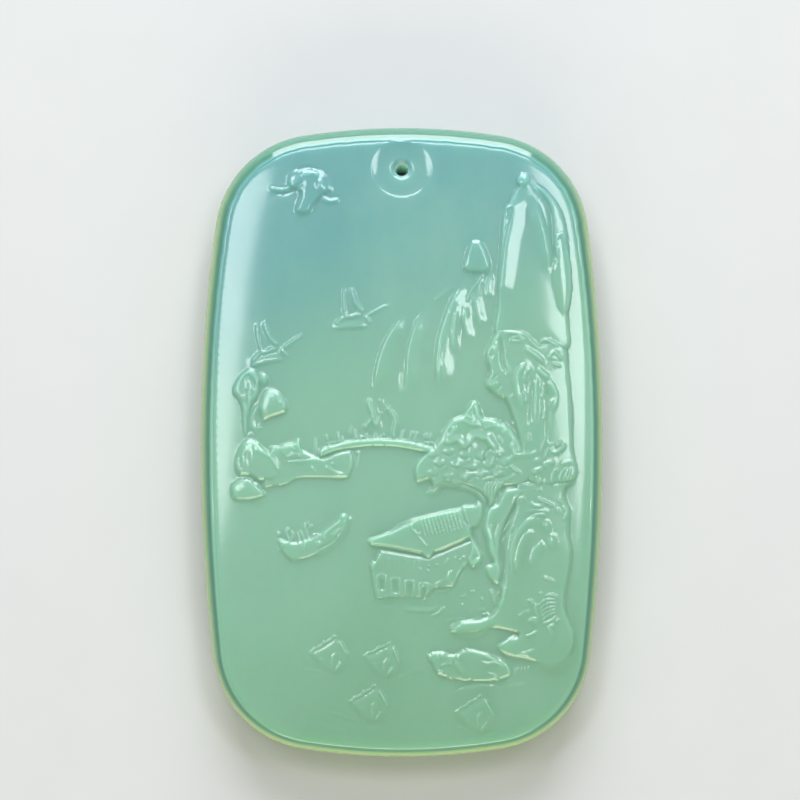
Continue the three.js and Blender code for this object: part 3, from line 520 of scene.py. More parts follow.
def carve_rock_columns(c):
    """Rock columns below the tall peak."""
    c.plate([(9.3, 10.5), (10.2, 10.75), (11.6, 10.5), (12.9, 9.7), (13.9, 9.2), (15.0, 9.6),
             (16.3, 8.9), (16.6, 6.6), (16.9, 3.0), (17.0, -1.0), (17.1, -4.4), (12.5, -4.8),
             (11.5, -0.4), (10.9, 1.6), (10.2, 3.4), (9.2, 4.0), (8.1, 5.0), (8.55, 6.2),
             (8.25, 8.0), (8.7, 9.2)], c.ground * 1.25, 0.45, crown=0.05)
    c.step([(8.5, 6.6), (8.4, 8.1), (9.0, 9.5), (9.6, 10.3)], 0.1, 0.3, 0.5)
    c.facet(9.1, 8.3, 0.5, 1.0, 0.16, 0.0, -0.3)
    c.groove([(9.7, 9.9), (9.9, 8.6), (9.95, 7.4), (10.2, 6.3)], 0.34, 0.16)
    c.facet(9.0, 8.2, 0.42, 1.1, 0.2, 0.05, -0.35)
    c.groove([(8.2, 5.0), (8.9, 5.5), (9.5, 6.0)], 0.2, 0.07)
    c.groove([(8.4, 4.8), (9.3, 4.5), (9.9, 5.0)], 0.22, 0.08)
    c.ridge([(8.9, 4.9), (9.4, 5.2)], 0.18, 0.1)
    c.ridge([(9.4, 3.9), (10.1, 3.7)], 0.24, 0.1)
    c.ridge([(10.2, 5.9), (10.6, 6.3), (10.2, 7.4)], 0.22, 0.1)
    c.bead(10.85, 3.8, 0.22, 0.3, 0.1)
    c.ridge([(10.0, 10.1), (11.0, 10.2), (12.1, 10.0), (12.9, 9.3), (13.5, 8.8)], 0.26, 0.11)
    c.ridge([(10.6, 9.4), (11.5, 9.8), (12.0, 9.4)], 0.2, 0.09)
    c.ridge([(10.6, 9.4), (11.2, 9.3), (12.0, 9.4)], 0.16, 0.07)
    c.ridge([(12.0, 8.6), (12.9, 8.2), (14.2, 7.2)], 0.3, 0.13)
    c.ridge([(13.4, 8.9), (14.2, 9.5), (15.6, 8.9)], 0.22, 0.1)
    c.facet(15.2, 7.9, 0.9, 0.5, -0.06, -0.12)
    c.ridge([(14.4, 7.6), (15.1, 8.3), (16.0, 7.5)], 0.28, 0.12)
    c.ridge([(14.9, 7.1), (15.8, 6.9)], 0.18, 0.1)
    c.step([(11.8, 2.4), (11.4, 4.2), (11.35, 5.8), (11.9, 6.9), (12.9, 7.1)], 0.16, 0.34, 0.9)
    c.ridge([(12.1, 5.2), (12.3, 6.2), (12.9, 6.7)], 0.26, 0.12)
    c.ridge([(13.4, 6.7), (14.0, 6.1), (14.6, 5.7)], 0.36, 0.15)
    c.ridge([(12.1, 4.3), (12.35, 3.7), (12.2, 3.1)], 0.28, 0.1)
    c.ridge([(11.8, 4.2), (11.9, 3.3), (11.8, 2.6)], 0.18, 0.08)
    c.ridge([(13.3, 6.1), (13.25, 3.8), (13.15, 1.0)], 0.34, 0.1)
    c.ridge([(13.9, 5.0), (14.0, 4.2), (13.8, 3.6)], 0.2, 0.09)
    c.ridge([(14.0, 2.4), (14.1, 1.9), (13.9, 1.5)], 0.2, 0.08)
    c.groove([(12.9, 5.6), (12.8, 3.0), (12.6, 0.6)], 0.3, 0.08)
    c.step([(14.4, 5.7), (15.1, 4.7), (15.35, 3.6), (15.0, 2.3)], 0.22, 0.2, 0.6)
    c.facet(14.9, 4.3, 0.42, 1.5, -0.12, 0.0, 0.2)
    c.groove([(14.3, 5.2), (14.5, 3.2), (14.5, 0.6), (14.4, -0.6)], 0.34, 0.1)
    c.ridge([(14.3, 0.0), (14.0, -0.8), (13.7, -1.7)], 0.2, 0.12)
    c.ridge([(14.5, -1.2), (14.3, -1.8), (14.1, -2.4)], 0.18, 0.1)
    c.ridge([(12.5, 0.2), (12.5, -0.8)], 0.16, 0.09)
    c.facet(11.6, 0.4, 0.36, 0.55, 0.16, 0.0)
    c.ridge([(10.9, 1.3), (11.1, 0.9)], 0.18, 0.08)


def carve_left_shore(c):
    """Stump, boulder, cliff and the spit of land that carries the left end of the bridge."""
    c.plate([(-16.8, 4.4), (-16.5, 5.4), (-15.8, 6.3), (-15.0, 6.75), (-14.3, 6.4), (-14.0, 5.4),
             (-14.2, 4.0), (-15.0, 2.6), (-15.2, 0.6), (-15.4, 0.0), (-15.7, 0.4), (-15.9, 2.6),
             (-16.2, 3.6)], c.ground, 0.34)
    c.groove([(-15.9, 5.1), (-15.4, 5.9), (-14.9, 5.7), (-14.3, 4.3)], 0.3, 0.1)
    c.facet(-15.2, 4.9, 0.7, 1.0, 0.14, -0.08)
    c.ridge([(-15.2, 4.6), (-15.1, 3.2), (-15.25, 1.9)], 0.26, 0.13)
    c.groove([(-15.4, 4.6), (-15.3, 4.1)], 0.16, 0.08)
    c.bead(-15.6, 3.7, 0.2, 0.2, 0.08)
    c.knob(-13.7, 5.6, 0.5, 0.6, 0.22, 0.3)
    c.ridge([(-14.1, 5.2), (-13.7, 6.0), (-13.4, 5.5)], 0.16, 0.07)
    c.plate([(-14.2, 2.9), (-13.7, 4.4), (-12.8, 4.7), (-11.9, 4.3), (-11.2, 3.2), (-11.3, 2.3),
             (-12.0, 2.0), (-12.9, 1.7), (-13.8, 1.4)], c.ground * 1.2, 0.5, crown=0.07, reach=1.0)
    c.ridge([(-12.6, 4.0), (-12.3, 3.5), (-12.0, 3.1)], 0.2, 0.09)
    c.bead(-13.6, 2.3, 0.35, 0.35, 0.1)
    c.step([(-14.1, 0.2), (-14.7, 0.8), (-14.8, 1.7), (-14.4, 2.7), (-13.8, 3.2)], 0.14, 0.3, 0.5)
    c.bead(-14.1, 0.8, 0.3, 0.4, 0.08)
    c.ridge([(-15.2, -0.1), (-14.9, 0.1), (-14.6, 0.0)], 0.16, 0.07)
    c.plate([(-16.0, -0.9), (-15.2, -0.4), (-14.3, -0.5), (-13.4, -1.3), (-12.4, -2.3),
             (-11.8, -3.6), (-12.4, -4.6), (-14.0, -4.6), (-15.1, -4.1), (-16.2, -3.9),
             (-16.6, -2.6)], c.ground * 1.15, 0.5, crown=0.05, reach=1.2)
    c.facet(-15.0, -2.2, 0.62, 1.25, 0.16, 0.0, 0.0)
    c.groove([(-15.6, -0.9), (-16.0, -2.0), (-15.9, -3.3)], 0.3, 0.12)
    c.ridge([(-15.8, -1.9), (-15.6, -2.6), (-15.8, -3.1)], 0.2, 0.08)
    c.ridge([(-15.5, -0.8), (-15.0, -0.5), (-14.5, -0.8)], 0.2, 0.08)
    c.step([(-11.7, -3.9), (-12.3, -3.2), (-12.8, -2.3), (-13.6, -1.8), (-14.6, -1.2)],
           0.12, 0.3, 0.6)
    c.plate([(-16.9, -5.0), (-16.2, -4.3), (-15.2, -4.1), (-14.2, -4.7), (-13.3, -5.8),
             (-14.0, -6.3), (-15.2, -6.5), (-16.3, -6.5), (-16.9, -6.0)],
            c.ground, 0.5, crown=0.05, reach=1.0)
    c.facet(-15.5, -4.45, 0.5, 0.35, 0.1, -0.15, 0.4)
    c.groove([(-14.8, -4.5), (-14.3, -5.1), (-13.5, -5.5)], 0.2, 0.08)
    c.plate([(-13.2, -1.5), (-12.0, -1.0), (-10.2, -1.2), (-8.0, -2.2), (-6.5, -1.7),
             (-5.0, -1.5), (-4.6, -2.6), (-4.9, -3.9), (-5.6, -4.4), (-8.0, -4.35), (-10.2, -4.4),
             (-11.4, -5.0), (-12.8, -5.2), (-13.8, -5.0)], c.ground * 0.85, 0.42)
    c.step([(-7.7, -2.9), (-6.6, -3.7), (-5.9, -3.9), (-5.1, -4.0)], 0.09, 0.2, 0.4)
    c.ridge([(-8.9, -3.1), (-8.5, -3.8)], 0.14, 0.05)
    c.bead(-6.8, -2.9, 0.16, 0.16, 0.07)
    c.bead(-6.1, -3.9, 0.2, 0.16, 0.09)


def carve_lodge(c):
    """A low lodge and reed stakes where the bridge leaves the left bank."""
    c.plate([(-12.3, -1.2), (-11.6, -0.9), (-10.7, -0.75), (-10.1, -0.25), (-9.8, -1.6),
             (-9.7, -2.4), (-11.3, -2.6), (-12.0, -2.0)], c.ground * 1.1, 0.24, smooth=False)
    c.ridge([(-12.0, -1.1), (-11.2, -0.85), (-10.6, -0.8)], 0.14, 0.08)
    c.ridge([(-10.9, -1.2), (-10.5, -1.6)], 0.16, 0.1)
    c.ridge([(-10.2, -0.5), (-10.1, -1.3), (-9.8, -1.9)], 0.14, 0.1)
    c.ridge([(-11.3, -2.2), (-10.4, -1.9), (-10.0, -2.3)], 0.16, 0.07)
    c.ridge([(-11.3, -2.7), (-9.6, -2.6), (-8.0, -2.4)], 0.16, 0.1)
    c.ridge([(-12.5, -1.5), (-12.2, -1.2)], 0.14, 0.1)
    for i, (x, foot, tip) in enumerate(((-8.5, -2.1, -0.3), (-8.2, -2.3, -1.3), (-7.9, -2.2, -1.5),
                                        (-7.4, -0.6, 0.0), (-7.2, -1.3, -0.9), (-6.3, -0.8, 0.3),
                                        (-6.1, -0.9, -0.3), (-5.8, -0.7, -0.2), (-5.0, -0.2, 0.9),
                                        (-4.6, -0.4, 0.6))):
        lean = 0.08 * math.sin(3.1 * i)
        c.ridge([(x + lean, foot), (x - lean, tip)], 0.16, 0.12)


def carve_bridge(c):
    """A low arched bridge with a railing and a tall gate at its crown."""
    left, right = -8.0, 3.4
    middle, half = (left + right) / 2, (right - left) / 2

    def deck(x, crown, fall):
        return crown - fall * ((x - middle) / half) ** 2

    xs = np.linspace(left, right, 9)
    upper = [(x, deck(x, -0.35, 1.0)) for x in xs]
    lower = [(x, deck(x, -1.15, 1.0)) for x in xs[::-1]]
    c.plate(upper + lower, c.ground * 1.05, 0.26)
    c.ridge([(x, deck(x, -0.62, 0.75)) for x in xs[1:-1]], 0.14, 0.08, 0.2)
    c.groove([(x, deck(x, -0.88, 0.85)) for x in xs[1:-1]], 0.13, 0.05, 0.2)
    posts = 13
    for i in range(posts):
        x = left + 3.2 + (right - left - 3.4) * i / (posts - 1)
        foot = deck(x, -0.5, 1.0)
        tall = 0.42 + 0.22 * math.sin(2.3 * i)
        c.ridge([(x, foot), (x + 0.08, foot + tall)], 0.13, 0.11)
        c.bead(x + 0.18, foot - 0.05, 0.14, 0.18, 0.08)
    c.ridge([(-3.1, 3.7), (-3.25, 3.0), (-2.9, 2.2), (-2.7, 1.2), (-2.4, 0.8)], 0.3, 0.17)
    c.ridge([(-2.8, 2.0), (-3.2, 1.3), (-3.7, 0.8)], 0.24, 0.12)
    c.bead(-3.6, 0.8, 0.36, 0.26, 0.14)
    c.ridge([(-2.3, 1.8), (-2.35, 1.2), (-2.6, 0.9)], 0.2, 0.09)
    c.ridge([(-1.9, 3.5), (-1.7, 3.0), (-1.3, 2.6), (-1.7, 2.5)], 0.24, 0.14)
    c.ridge([(-1.4, 2.6), (-0.9, 2.1), (-0.6, 1.2), (-0.8, 0.2), (-0.75, -0.5)], 0.32, 0.15)
    c.groove([(-2.3, 3.0), (-2.2, 2.4), (-1.9, 2.2)], 0.16, 0.05)
    c.groove([(-2.0, 1.9), (-1.7, 0.6)], 0.35, 0.06)
    for x, y in ((-2.2, 3.4), (-1.95, 2.2), (-1.8, 0.0), (-3.5, 0.0), (-3.9, -0.2)):
        c.bead(x, y, 0.14, 0.18, 0.09)
    c.ridge([(-4.8, -0.35), (-3.5, -0.25), (-2.5, -0.35)], 0.18, 0.08)
    c.ridge([(-7.8, -0.9), (-5.0, -0.65), (-2.3, -0.65)], 0.14, 0.09)
    c.ridge([(-2.6, 0.2), (-2.5, -0.3), (-2.2, -0.6)], 0.18, 0.09)
    c.ridge([(-4.2, -1.6), (-4.2, -2.1), (-4.5, -3.6)], 0.2, 0.09)
    c.bead(-4.3, -1.8, 0.22, 0.3, 0.09)
    for x in (0.15, 1.0, 1.45, 2.4, 2.8):
        c.ridge([(x - 0.12, -0.5), (x + 0.05, 0.5 - 0.12 * x)], 0.2, 0.11)
        c.ridge([(x - 0.2, -0.5 - 0.1 * x), (x + 0.3, -0.45 - 0.15 * x)], 0.16, 0.08)


def carve_big_tree(c):
    """Crown of the big tree with its twin tips, and the trunk winding down beside the roof."""
    c.plate([(3.4, -0.7), (4.0, 0.5), (4.9, 1.6), (5.9, 2.05), (6.5, 2.9), (6.9, 3.4), (7.4, 3.4),
             (7.75, 2.6), (8.1, 1.85), (9.2, 1.65), (10.2, 1.1), (11.0, 0.5), (11.6, -0.4),
             (12.4, -1.9), (12.9, -3.0), (12.6, -4.6), (11.4, -5.1), (10.2, -5.2), (9.5, -6.0),
             (9.2, -6.9), (8.5, -7.2), (8.3, -6.4), (7.6, -5.8), (6.4, -5.15), (5.3, -5.1),
             (4.4, -4.9), (3.6, -5.2), (2.8, -5.8), (2.3, -5.9), (2.9, -5.1), (2.5, -4.5),
             (1.4, -4.7), (1.1, -3.6), (1.4, -2.6), (2.1, -1.9), (2.9, -1.3)],
            c.ground * 1.2, 0.42, crown=0.06)
    c.facet(6.8, 2.8, 0.3, 0.6, 0.2, -0.1, -0.5)
    c.ridge([(7.0, 3.2), (6.75, 2.6), (6.2, 2.1)], 0.2, 0.1)
    c.ridge([(7.4, 3.3), (7.55, 2.6), (7.9, 2.0)], 0.22, 0.12)
    c.groove([(7.15, 3.2), (7.1, 2.4), (7.3, 1.8)], 0.2, 0.1)
    c.ridge([(6.2, 2.0), (6.6, 1.7), (7.2, 1.5)], 0.16, 0.07)
    c.facet(4.9, 0.4, 0.3, 0.75, 0.26, -0.06, -0.75)
    c.ridge([(4.3, -0.4), (4.9, 0.1), (5.4, 0.7)], 0.24, 0.1)
    c.step([(7.9, 0.85), (6.9, 0.95), (6.1, 1.3), (5.4, 1.25)], 0.12, 0.2, 0.6)
    c.step([(9.5, 0.9), (8.8, 0.75), (8.1, 0.6)], 0.09, 0.2, 0.5)
    c.step([(10.0, -0.1), (10.3, 0.6), (9.9, 1.2)], 0.09, 0.3, 0.4)
    c.step([(9.6, -1.6), (9.0, -1.3), (8.4, -0.5), (7.9, -0.4), (7.3, -0.2), (6.8, -0.8),
            (6.2, -1.25), (5.8, -1.0), (5.4, -0.6), (4.6, -0.85), (3.9, -0.8)],
           0.17, 0.24, 0.9, 0.2)
    c.step([(6.6, -3.0), (6.7, -2.0), (7.1, -0.6)], 0.08, 0.3, 0.8)
    c.groove([(8.2, -2.9), (8.1, -2.2), (8.5, -1.5), (9.1, -1.4)], 0.22, 0.1)
    c.ridge([(9.3, -1.6), (9.0, -2.6), (8.7, -3.1)], 0.2, 0.08)
    for x, y, rx, ry in ((8.7, -0.1, 0.22, 0.18), (9.65, -0.5, 0.18, 0.5), (11.5, -1.6, 0.2, 0.25),
                         (13.3, -2.5, 0.36, 0.28), (9.7, -2.1, 0.3, 0.12), (7.9, -2.5, 0.2, 0.24)):
        c.bead(x, y, rx, ry, 0.12, 0.4)
    c.step([(11.2, -2.2), (10.9, -1.4), (11.0, -0.5)], 0.12, 0.3, 0.6)
    c.step([(10.2, -2.9), (10.6, -2.4), (11.4, -2.0), (12.6, -1.85), (13.4, -1.4)],
           0.08, 0.25, 0.5)
    c.step([(9.2, -3.3), (9.8, -3.1), (10.4, -3.0)], 0.08, 0.2, 0.5)
    c.ridge([(10.6, -3.0), (11.1, -3.5), (11.7, -3.8)], 0.2, 0.1)
    c.step([(12.9, -3.9), (13.2, -3.5), (13.9, -3.3)], 0.15, 0.24, 0.5)
    lumps = 5
    for row in range(3):
        for i in range(lumps):
            x = 3.0 + 1.6 * i + 0.7 * (row % 2)
            y = -1.9 - 1.05 * row + 0.25 * math.sin(1.7 * i + row)
            c.bead(x, y, 0.78, 0.5, 0.09, 0.25)
            c.groove([(x - 0.7, y - 0.15), (x, y - 0.5), (x + 0.7, y - 0.2)], 0.16, 0.06)
    c.ridge([(4.7, -3.0), (5.9, -3.2), (6.5, -3.3)], 0.14, 0.07)
    c.ridge([(6.2, -4.0), (7.1, -3.9), (8.0, -4.1)], 0.2, 0.08)
    c.ridge([(6.2, -4.6), (6.4, -4.1)], 0.18, 0.07)
    c.ridge([(8.0, -4.4), (8.9, -4.3), (9.4, -4.0)], 0.2, 0.1)
    c.ridge([(10.0, -4.6), (10.6, -4.3), (11.1, -4.0)], 0.18, 0.09)
    c.step([(2.3, -5.95), (3.2, -5.6), (3.9, -4.95), (5.0, -4.95), (6.4, -5.25), (7.4, -5.7),
            (8.1, -6.4), (8.4, -7.1)], 0.2, 0.28, 0.5, 0.3)
    c.step([(1.3, -4.6), (1.9, -4.5), (2.6, -4.3)], 0.12, 0.2, 0.4)
    for i in range(5):
        x = 8.1 + 0.35 * i
        c.ridge([(x + 0.45, -4.7), (x + 0.15, -5.3), (x + 0.1, -6.1)], 0.13, 0.09)


def carve_trunk(c):
    """Trunk, hanging branch and roots between the pavilion and the rocks."""
    c.plate([(8.4, -7.2), (9.3, -6.8), (9.8, -5.8), (10.6, -5.2), (11.6, -5.1), (12.8, -5.4),
             (11.6, -6.4), (10.9, -7.6), (10.0, -9.6), (9.7, -12.0), (9.9, -13.6), (9.6, -14.8),
             (8.9, -14.6), (8.3, -13.9), (8.2, -13.0), (8.9, -12.6), (8.5, -11.6), (8.3, -10.4),
             (8.0, -9.4), (8.1, -8.4)], c.ground * 1.1, 0.4, crown=0.04)
    c.step([(9.2, -12.7), (8.7, -11.6), (8.5, -10.4), (8.1, -9.2), (8.4, -8.2), (9.1, -7.0),
            (9.7, -5.8), (10.4, -5.2), (11.6, -5.3)], 0.16, 0.34, 1.0, 0.3)
    c.ridge([(8.9, -9.4), (8.8, -9.0)], 0.14, 0.09)
    c.groove([(9.5, -8.4), (9.1, -10.0), (9.4, -11.8)], 0.24, 0.08)
    c.plate([(5.8, -7.1), (7.0, -6.9), (7.6, -6.5), (8.1, -7.0), (8.0, -7.9), (7.6, -8.8),
             (7.0, -9.4), (7.1, -10.4), (7.7, -11.2), (8.0, -12.0), (7.8, -12.7), (7.0, -13.2),
             (6.4, -12.6), (6.7, -11.0), (6.5, -9.4), (5.9, -8.4)], c.ground * 0.95, 0.34)
    c.facet(7.3, -7.2, 0.3, 0.6, 0.2, 0.0, -0.35)
    c.ridge([(7.9, -7.6), (7.75, -8.4), (7.4, -8.9), (7.0, -9.2)], 0.22, 0.12)
    c.ridge([(6.1, -8.7), (6.4, -9.1), (6.8, -9.3)], 0.16, 0.1)
    c.groove([(7.1, -9.6), (7.4, -10.8), (7.9, -11.8)], 0.2, 0.07)
    c.facet(7.4, -12.3, 0.5, 0.4, 0.14, -0.2, 0.6)
    c.ridge([(7.8, -12.3), (7.3, -12.5), (6.95, -13.1)], 0.22, 0.12)
    c.ridge([(8.6, -15.3), (8.95, -15.8), (9.2, -16.8)], 0.24, 0.12)
    c.ridge([(9.85, -14.6), (10.0, -15.8), (9.8, -16.6), (9.4, -17.1)], 0.34, 0.16)
    c.ridge([(9.0, -16.9), (9.5, -15.4)], 0.16, 0.06)


def carve_pavilion(c):
    """A waterside pavilion: swept roof with tiles, arched windows, stair and waterline."""
    c.plate([(-3.1, -13.7), (-2.7, -12.4), (-2.1, -11.4), (2.6, -12.2), (6.9, -10.4),
             (7.5, -11.6), (6.4, -13.1), (5.8, -13.7), (5.1, -15.0), (3.4, -15.2),
             (2.2, -16.2), (0.5, -16.1), (-2.6, -16.3)], c.ground * 0.6, 0.3, smooth=False)
    c.plate([(-3.5, -10.55), (-3.2, -10.25), (-1.2, -9.55), (0.0, -8.95), (1.8, -8.15),
             (3.8, -7.65), (5.9, -7.15), (6.3, -8.4), (6.9, -9.3), (7.0, -10.15), (5.0, -11.0),
             (3.3, -11.7), (3.05, -12.15), (2.6, -12.35), (2.2, -12.15), (1.9, -11.85),
             (0.7, -11.6), (-0.3, -11.4), (-1.4, -11.2), (-3.1, -11.0)],
            c.ground * 1.25, 0.34, smooth=False)
    c.facet(-2.3, -10.15, 1.35, 0.3, 0.1, -0.3, 0.38)
    c.ridge([(-3.3, -10.5), (-2.2, -10.2), (-1.2, -9.65)], 0.22, 0.1)
    c.ridge([(-0.9, -9.3), (0.2, -8.75), (1.8, -8.2)], 0.24, 0.07)
    c.step([(5.9, -7.3), (3.8, -7.8), (1.9, -8.35), (0.0, -9.1)], 0.06, 0.3, 0.5)
    c.ridge([(0.75, -9.0), (1.1, -9.15)], 0.26, 0.13)
    c.ridge([(0.6, -9.2), (1.3, -9.7), (1.9, -10.5), (2.6, -11.3)], 0.16, 0.06)
    c.bead(1.7, -9.85, 0.2, 0.18, 0.13)
    c.bead(2.45, -11.0, 0.2, 0.14, 0.12)
    c.step([(3.1, -11.95), (3.9, -11.35), (5.2, -10.85), (6.9, -10.2)], 0.08, 0.22, 0.4)
    rows, columns = 6, 13
    for row in range(rows):
        for column in range(columns):
            u, v = (column + 0.5) / columns, (row + 0.5) / rows
            x = 1.55 + 4.75 * u + 0.55 * v
            y = -8.35 - 0.35 * v * 5.2 + 0.95 * u - 0.1 * u * v
            if x > 6.7 or (x - 0.9) < (-9.0 - y) * 0.75 + 0.35:
                continue
            c.bead(x, y, 0.085, 0.17, 0.075, 0.25)
    c.plate([(-3.15, -13.0), (-2.9, -12.4), (-2.6, -12.5), (-2.3, -11.8), (-1.95, -11.5),
             (-2.2, -12.5), (-2.6, -13.2), (-2.95, -13.8)], c.ground * 1.05, 0.2, smooth=False)
    c.facet(-2.5, -12.5, 0.42, 1.1, 0.2, -0.1, -0.5)
    bays = 4
    for i in range(bays):
        x, top, wide = -2.0 + 1.38 * i, -13.85 - 0.27 * i, 0.42
        c.groove([(x, top - 0.4), (x + 0.05, top - 1.6)], wide, 0.14, 0.3)
        arch = [(x + wide * math.cos(t), top - 0.35 + 0.32 * math.sin(t))
                for t in np.linspace(math.pi, 0, 5)]
        c.ridge([(x - wide, top - 1.3)] + arch + [(x + wide, top - 1.0)], 0.12, 0.1, 0.2)
    for i in range(9):
        x, y = -1.6 + 0.4 * i, -12.4 - 0.02 * i
        c.bead(x, y, 0.08, 0.2, 0.06)
    dots = 6
    for i in range(dots):
        x, y = 1.8 + 0.86 * i, -13.35 + 0.25 * i + 0.12 * math.sin(2 * i)
        c.bead(x, y, 0.18, 0.15, 0.12, 0.3)
    for x, y in ((4.5, -12.4), (5.7, -12.4), (2.6, -13.5), (6.2, -12.9)):
        c.bead(x, y, 0.2, 0.17, 0.12, 0.3)
    c.step([(4.9, -13.3), (4.7, -14.0), (4.7, -14.7)], 0.08, 0.2, 0.4)
    c.ridge([(5.9, -13.2), (5.5, -14.0), (5.1, -14.8), (4.2, -14.9)], 0.22, 0.12)
    c.groove([(6.0, -13.4), (5.6, -14.2), (5.2, -14.9)], 0.13, 0.06)
    c.ridge([(3.1, -15.1), (3.9, -14.5), (4.4, -14.4)], 0.16, 0.08)
    c.ridge([(2.9, -15.3), (3.9, -15.5), (4.9, -15.2)], 0.16, 0.08)
    c.ridge([(1.6, -15.6), (2.3, -14.8), (2.9, -15.0)], 0.16, 0.08)
    c.facet(2.35, -15.95, 0.3, 0.55, 0.2, -0.2, -0.5)
    c.ridge([(2.7, -15.5), (2.3, -15.9), (2.2, -16.4)], 0.2, 0.12)
    c.ridge([(-2.7, -16.45), (-1.9, -16.35), (-1.2, -16.1)], 0.14, 0.06)
    c.ridge([(-2.2, -17.15), (-1.2, -17.1), (-0.3, -16.95)], 0.14, 0.05)
    c.step([(3.8, -17.0), (2.8, -17.35), (1.0, -17.3), (-0.2, -17.2)], 0.1, 0.22, 0.5)
    c.ridge([(4.2, -17.0), (3.6, -17.6), (2.9, -17.95)], 0.22, 0.12)
    c.ridge([(4.1, -18.5), (5.2, -18.2), (6.4, -18.3)], 0.18, 0.06)


def carve_right_bank(c):
    """Rocks, shrubs and bank along the lower right."""
    c.plate([(11.2, -4.6), (13.0, -4.4), (15.0, -4.4), (17.2, -4.5), (16.4, -5.2), (16.25, -6.2),
             (16.7, -7.4), (16.6, -9.5), (16.9, -11.5), (16.6, -14.0), (16.2, -16.2),
             (16.4, -17.6), (17.1, -19.6), (17.0, -21.1), (16.2, -22.4), (15.2, -22.95),
             (14.0, -22.95), (12.8, -22.4), (11.4, -22.0), (10.4, -21.9), (9.2, -21.0),
             (10.2, -20.1), (11.3, -19.7), (9.0, -19.2), (8.2, -19.5), (6.8, -19.8), (5.2, -19.7),
             (4.6, -19.4), (5.2, -18.7), (6.2, -18.3), (7.8, -18.1), (9.0, -17.3), (9.6, -15.6),
             (9.9, -13.4), (10.0, -11.0), (10.4, -9.0), (11.0, -7.2)], c.ground, 0.5, crown=0.05)
    c.step([(11.0, -14.1), (10.75, -12.8), (10.8, -11.2), (11.4, -9.6), (12.4, -8.5),
            (13.6, -7.9)], 0.16, 0.3, 1.0, 0.4)
    c.step([(11.4, -14.0), (11.25, -12.6), (11.6, -11.1), (12.1, -10.0), (13.0, -9.2)],
           0.14, 0.3, 0.8, 0.4)
    c.step([(12.75, -13.4), (12.8, -12.2), (13.2, -11.2), (14.0, -10.5)], 0.13, 0.28, 0.9, 0.5)
    c.ridge([(12.4, -13.0), (12.6, -11.8), (13.1, -10.8)], 0.3, 0.04)
    c.ridge([(9.9, -9.8), (10.4, -9.0), (10.9, -8.4)], 0.16, 0.1)
    c.ridge([(9.9, -10.9), (10.4, -9.8), (11.0, -8.9)], 0.16, 0.1)
    c.ridge([(10.9, -7.2), (11.1, -6.4), (11.5, -6.0)], 0.18, 0.1)
    c.ridge([(11.3, -6.9), (11.5, -6.4), (12.1, -6.2)], 0.2, 0.12)
    c.ridge([(11.6, -6.8), (12.1, -6.3)], 0.14, 0.1)
    c.facet(13.1, -6.95, 0.75, 0.32, 0.0, -0.26, -0.12)
    c.ridge([(12.5, -6.8), (13.2, -7.0), (14.0, -7.1)], 0.28, 0.1)
    c.ridge([(13.3, -6.3), (14.2, -6.7), (15.0, -7.1)], 0.16, 0.12)
    c.ridge([(13.2, -5.5), (13.8, -5.45)], 0.2, 0.08)
    c.ridge([(12.9, -7.95), (13.6, -7.9), (14.3, -7.9)], 0.18, 0.1)
    c.ridge([(12.0, -7.7), (12.9, -7.5), (14.6, -7.6)], 0.22, 0.05)
    c.bead(14.25, -9.0, 0.55, 0.7, 0.13, 0.3)
    c.bead(14.75, -10.6, 0.55, 0.95, 0.14, 0.1)
    c.facet(14.25, -9.0, 0.5, 0.65, -0.02, -0.02)
    c.ridge([(15.3, -7.3), (15.4, -7.8)], 0.2, 0.11)
    c.ridge([(16.0, -7.2), (16.3, -7.6), (15.9, -8.5)], 0.2, 0.11)
    c.ridge([(15.4, -6.4), (15.9, -6.7)], 0.2, 0.08)
    for x, y, rx, ry in ((13.5, -4.7, 0.25, 0.5), (13.3, -4.3, 0.15, 0.3), (14.0, -4.8, 0.2, 0.2),
                         (15.3, -3.5, 0.18, 0.18)):
        c.bead(x, y, rx, ry, 0.1, 0.4)
    c.step([(13.9, -3.1), (14.3, -2.75), (15.2, -2.6)], 0.13, 0.24, 0.5)
    c.step([(15.7, -2.9), (16.3, -2.6), (17.1, -2.55)], 0.13, 0.24, 0.5)
    c.ridge([(15.1, -3.3), (14.85, -4.2), (14.8, -5.0)], 0.2, 0.08)
    c.ridge([(15.8, -5.1), (15.6, -4.3), (15.9, -3.6), (16.2, -3.3)], 0.2, 0.09)
    for i in range(3):
        x = 16.1 + 0.3 * i
        c.ridge([(x + 0.3, -3.2), (x + 0.15, -3.9), (x - 0.1, -4.5)], 0.13, 0.09)
    c.ridge([(13.8, -14.1), (14.4, -14.3), (15.0, -14.6)], 0.2, 0.06)
    c.facet(15.2, -1.55, 0.55, 0.3, -0.02, -0.28, 0.1)
    c.step([(16.1, -0.7), (15.9, -1.3), (15.1, -1.75), (14.7, -1.4)], 0.14, 0.2, 0.4)
    c.ridge([(15.8, -0.5), (15.5, -0.9), (15.2, -1.1)], 0.18, 0.1)
    c.ridge([(14.5, -1.0), (14.8, -0.9)], 0.14, 0.08)


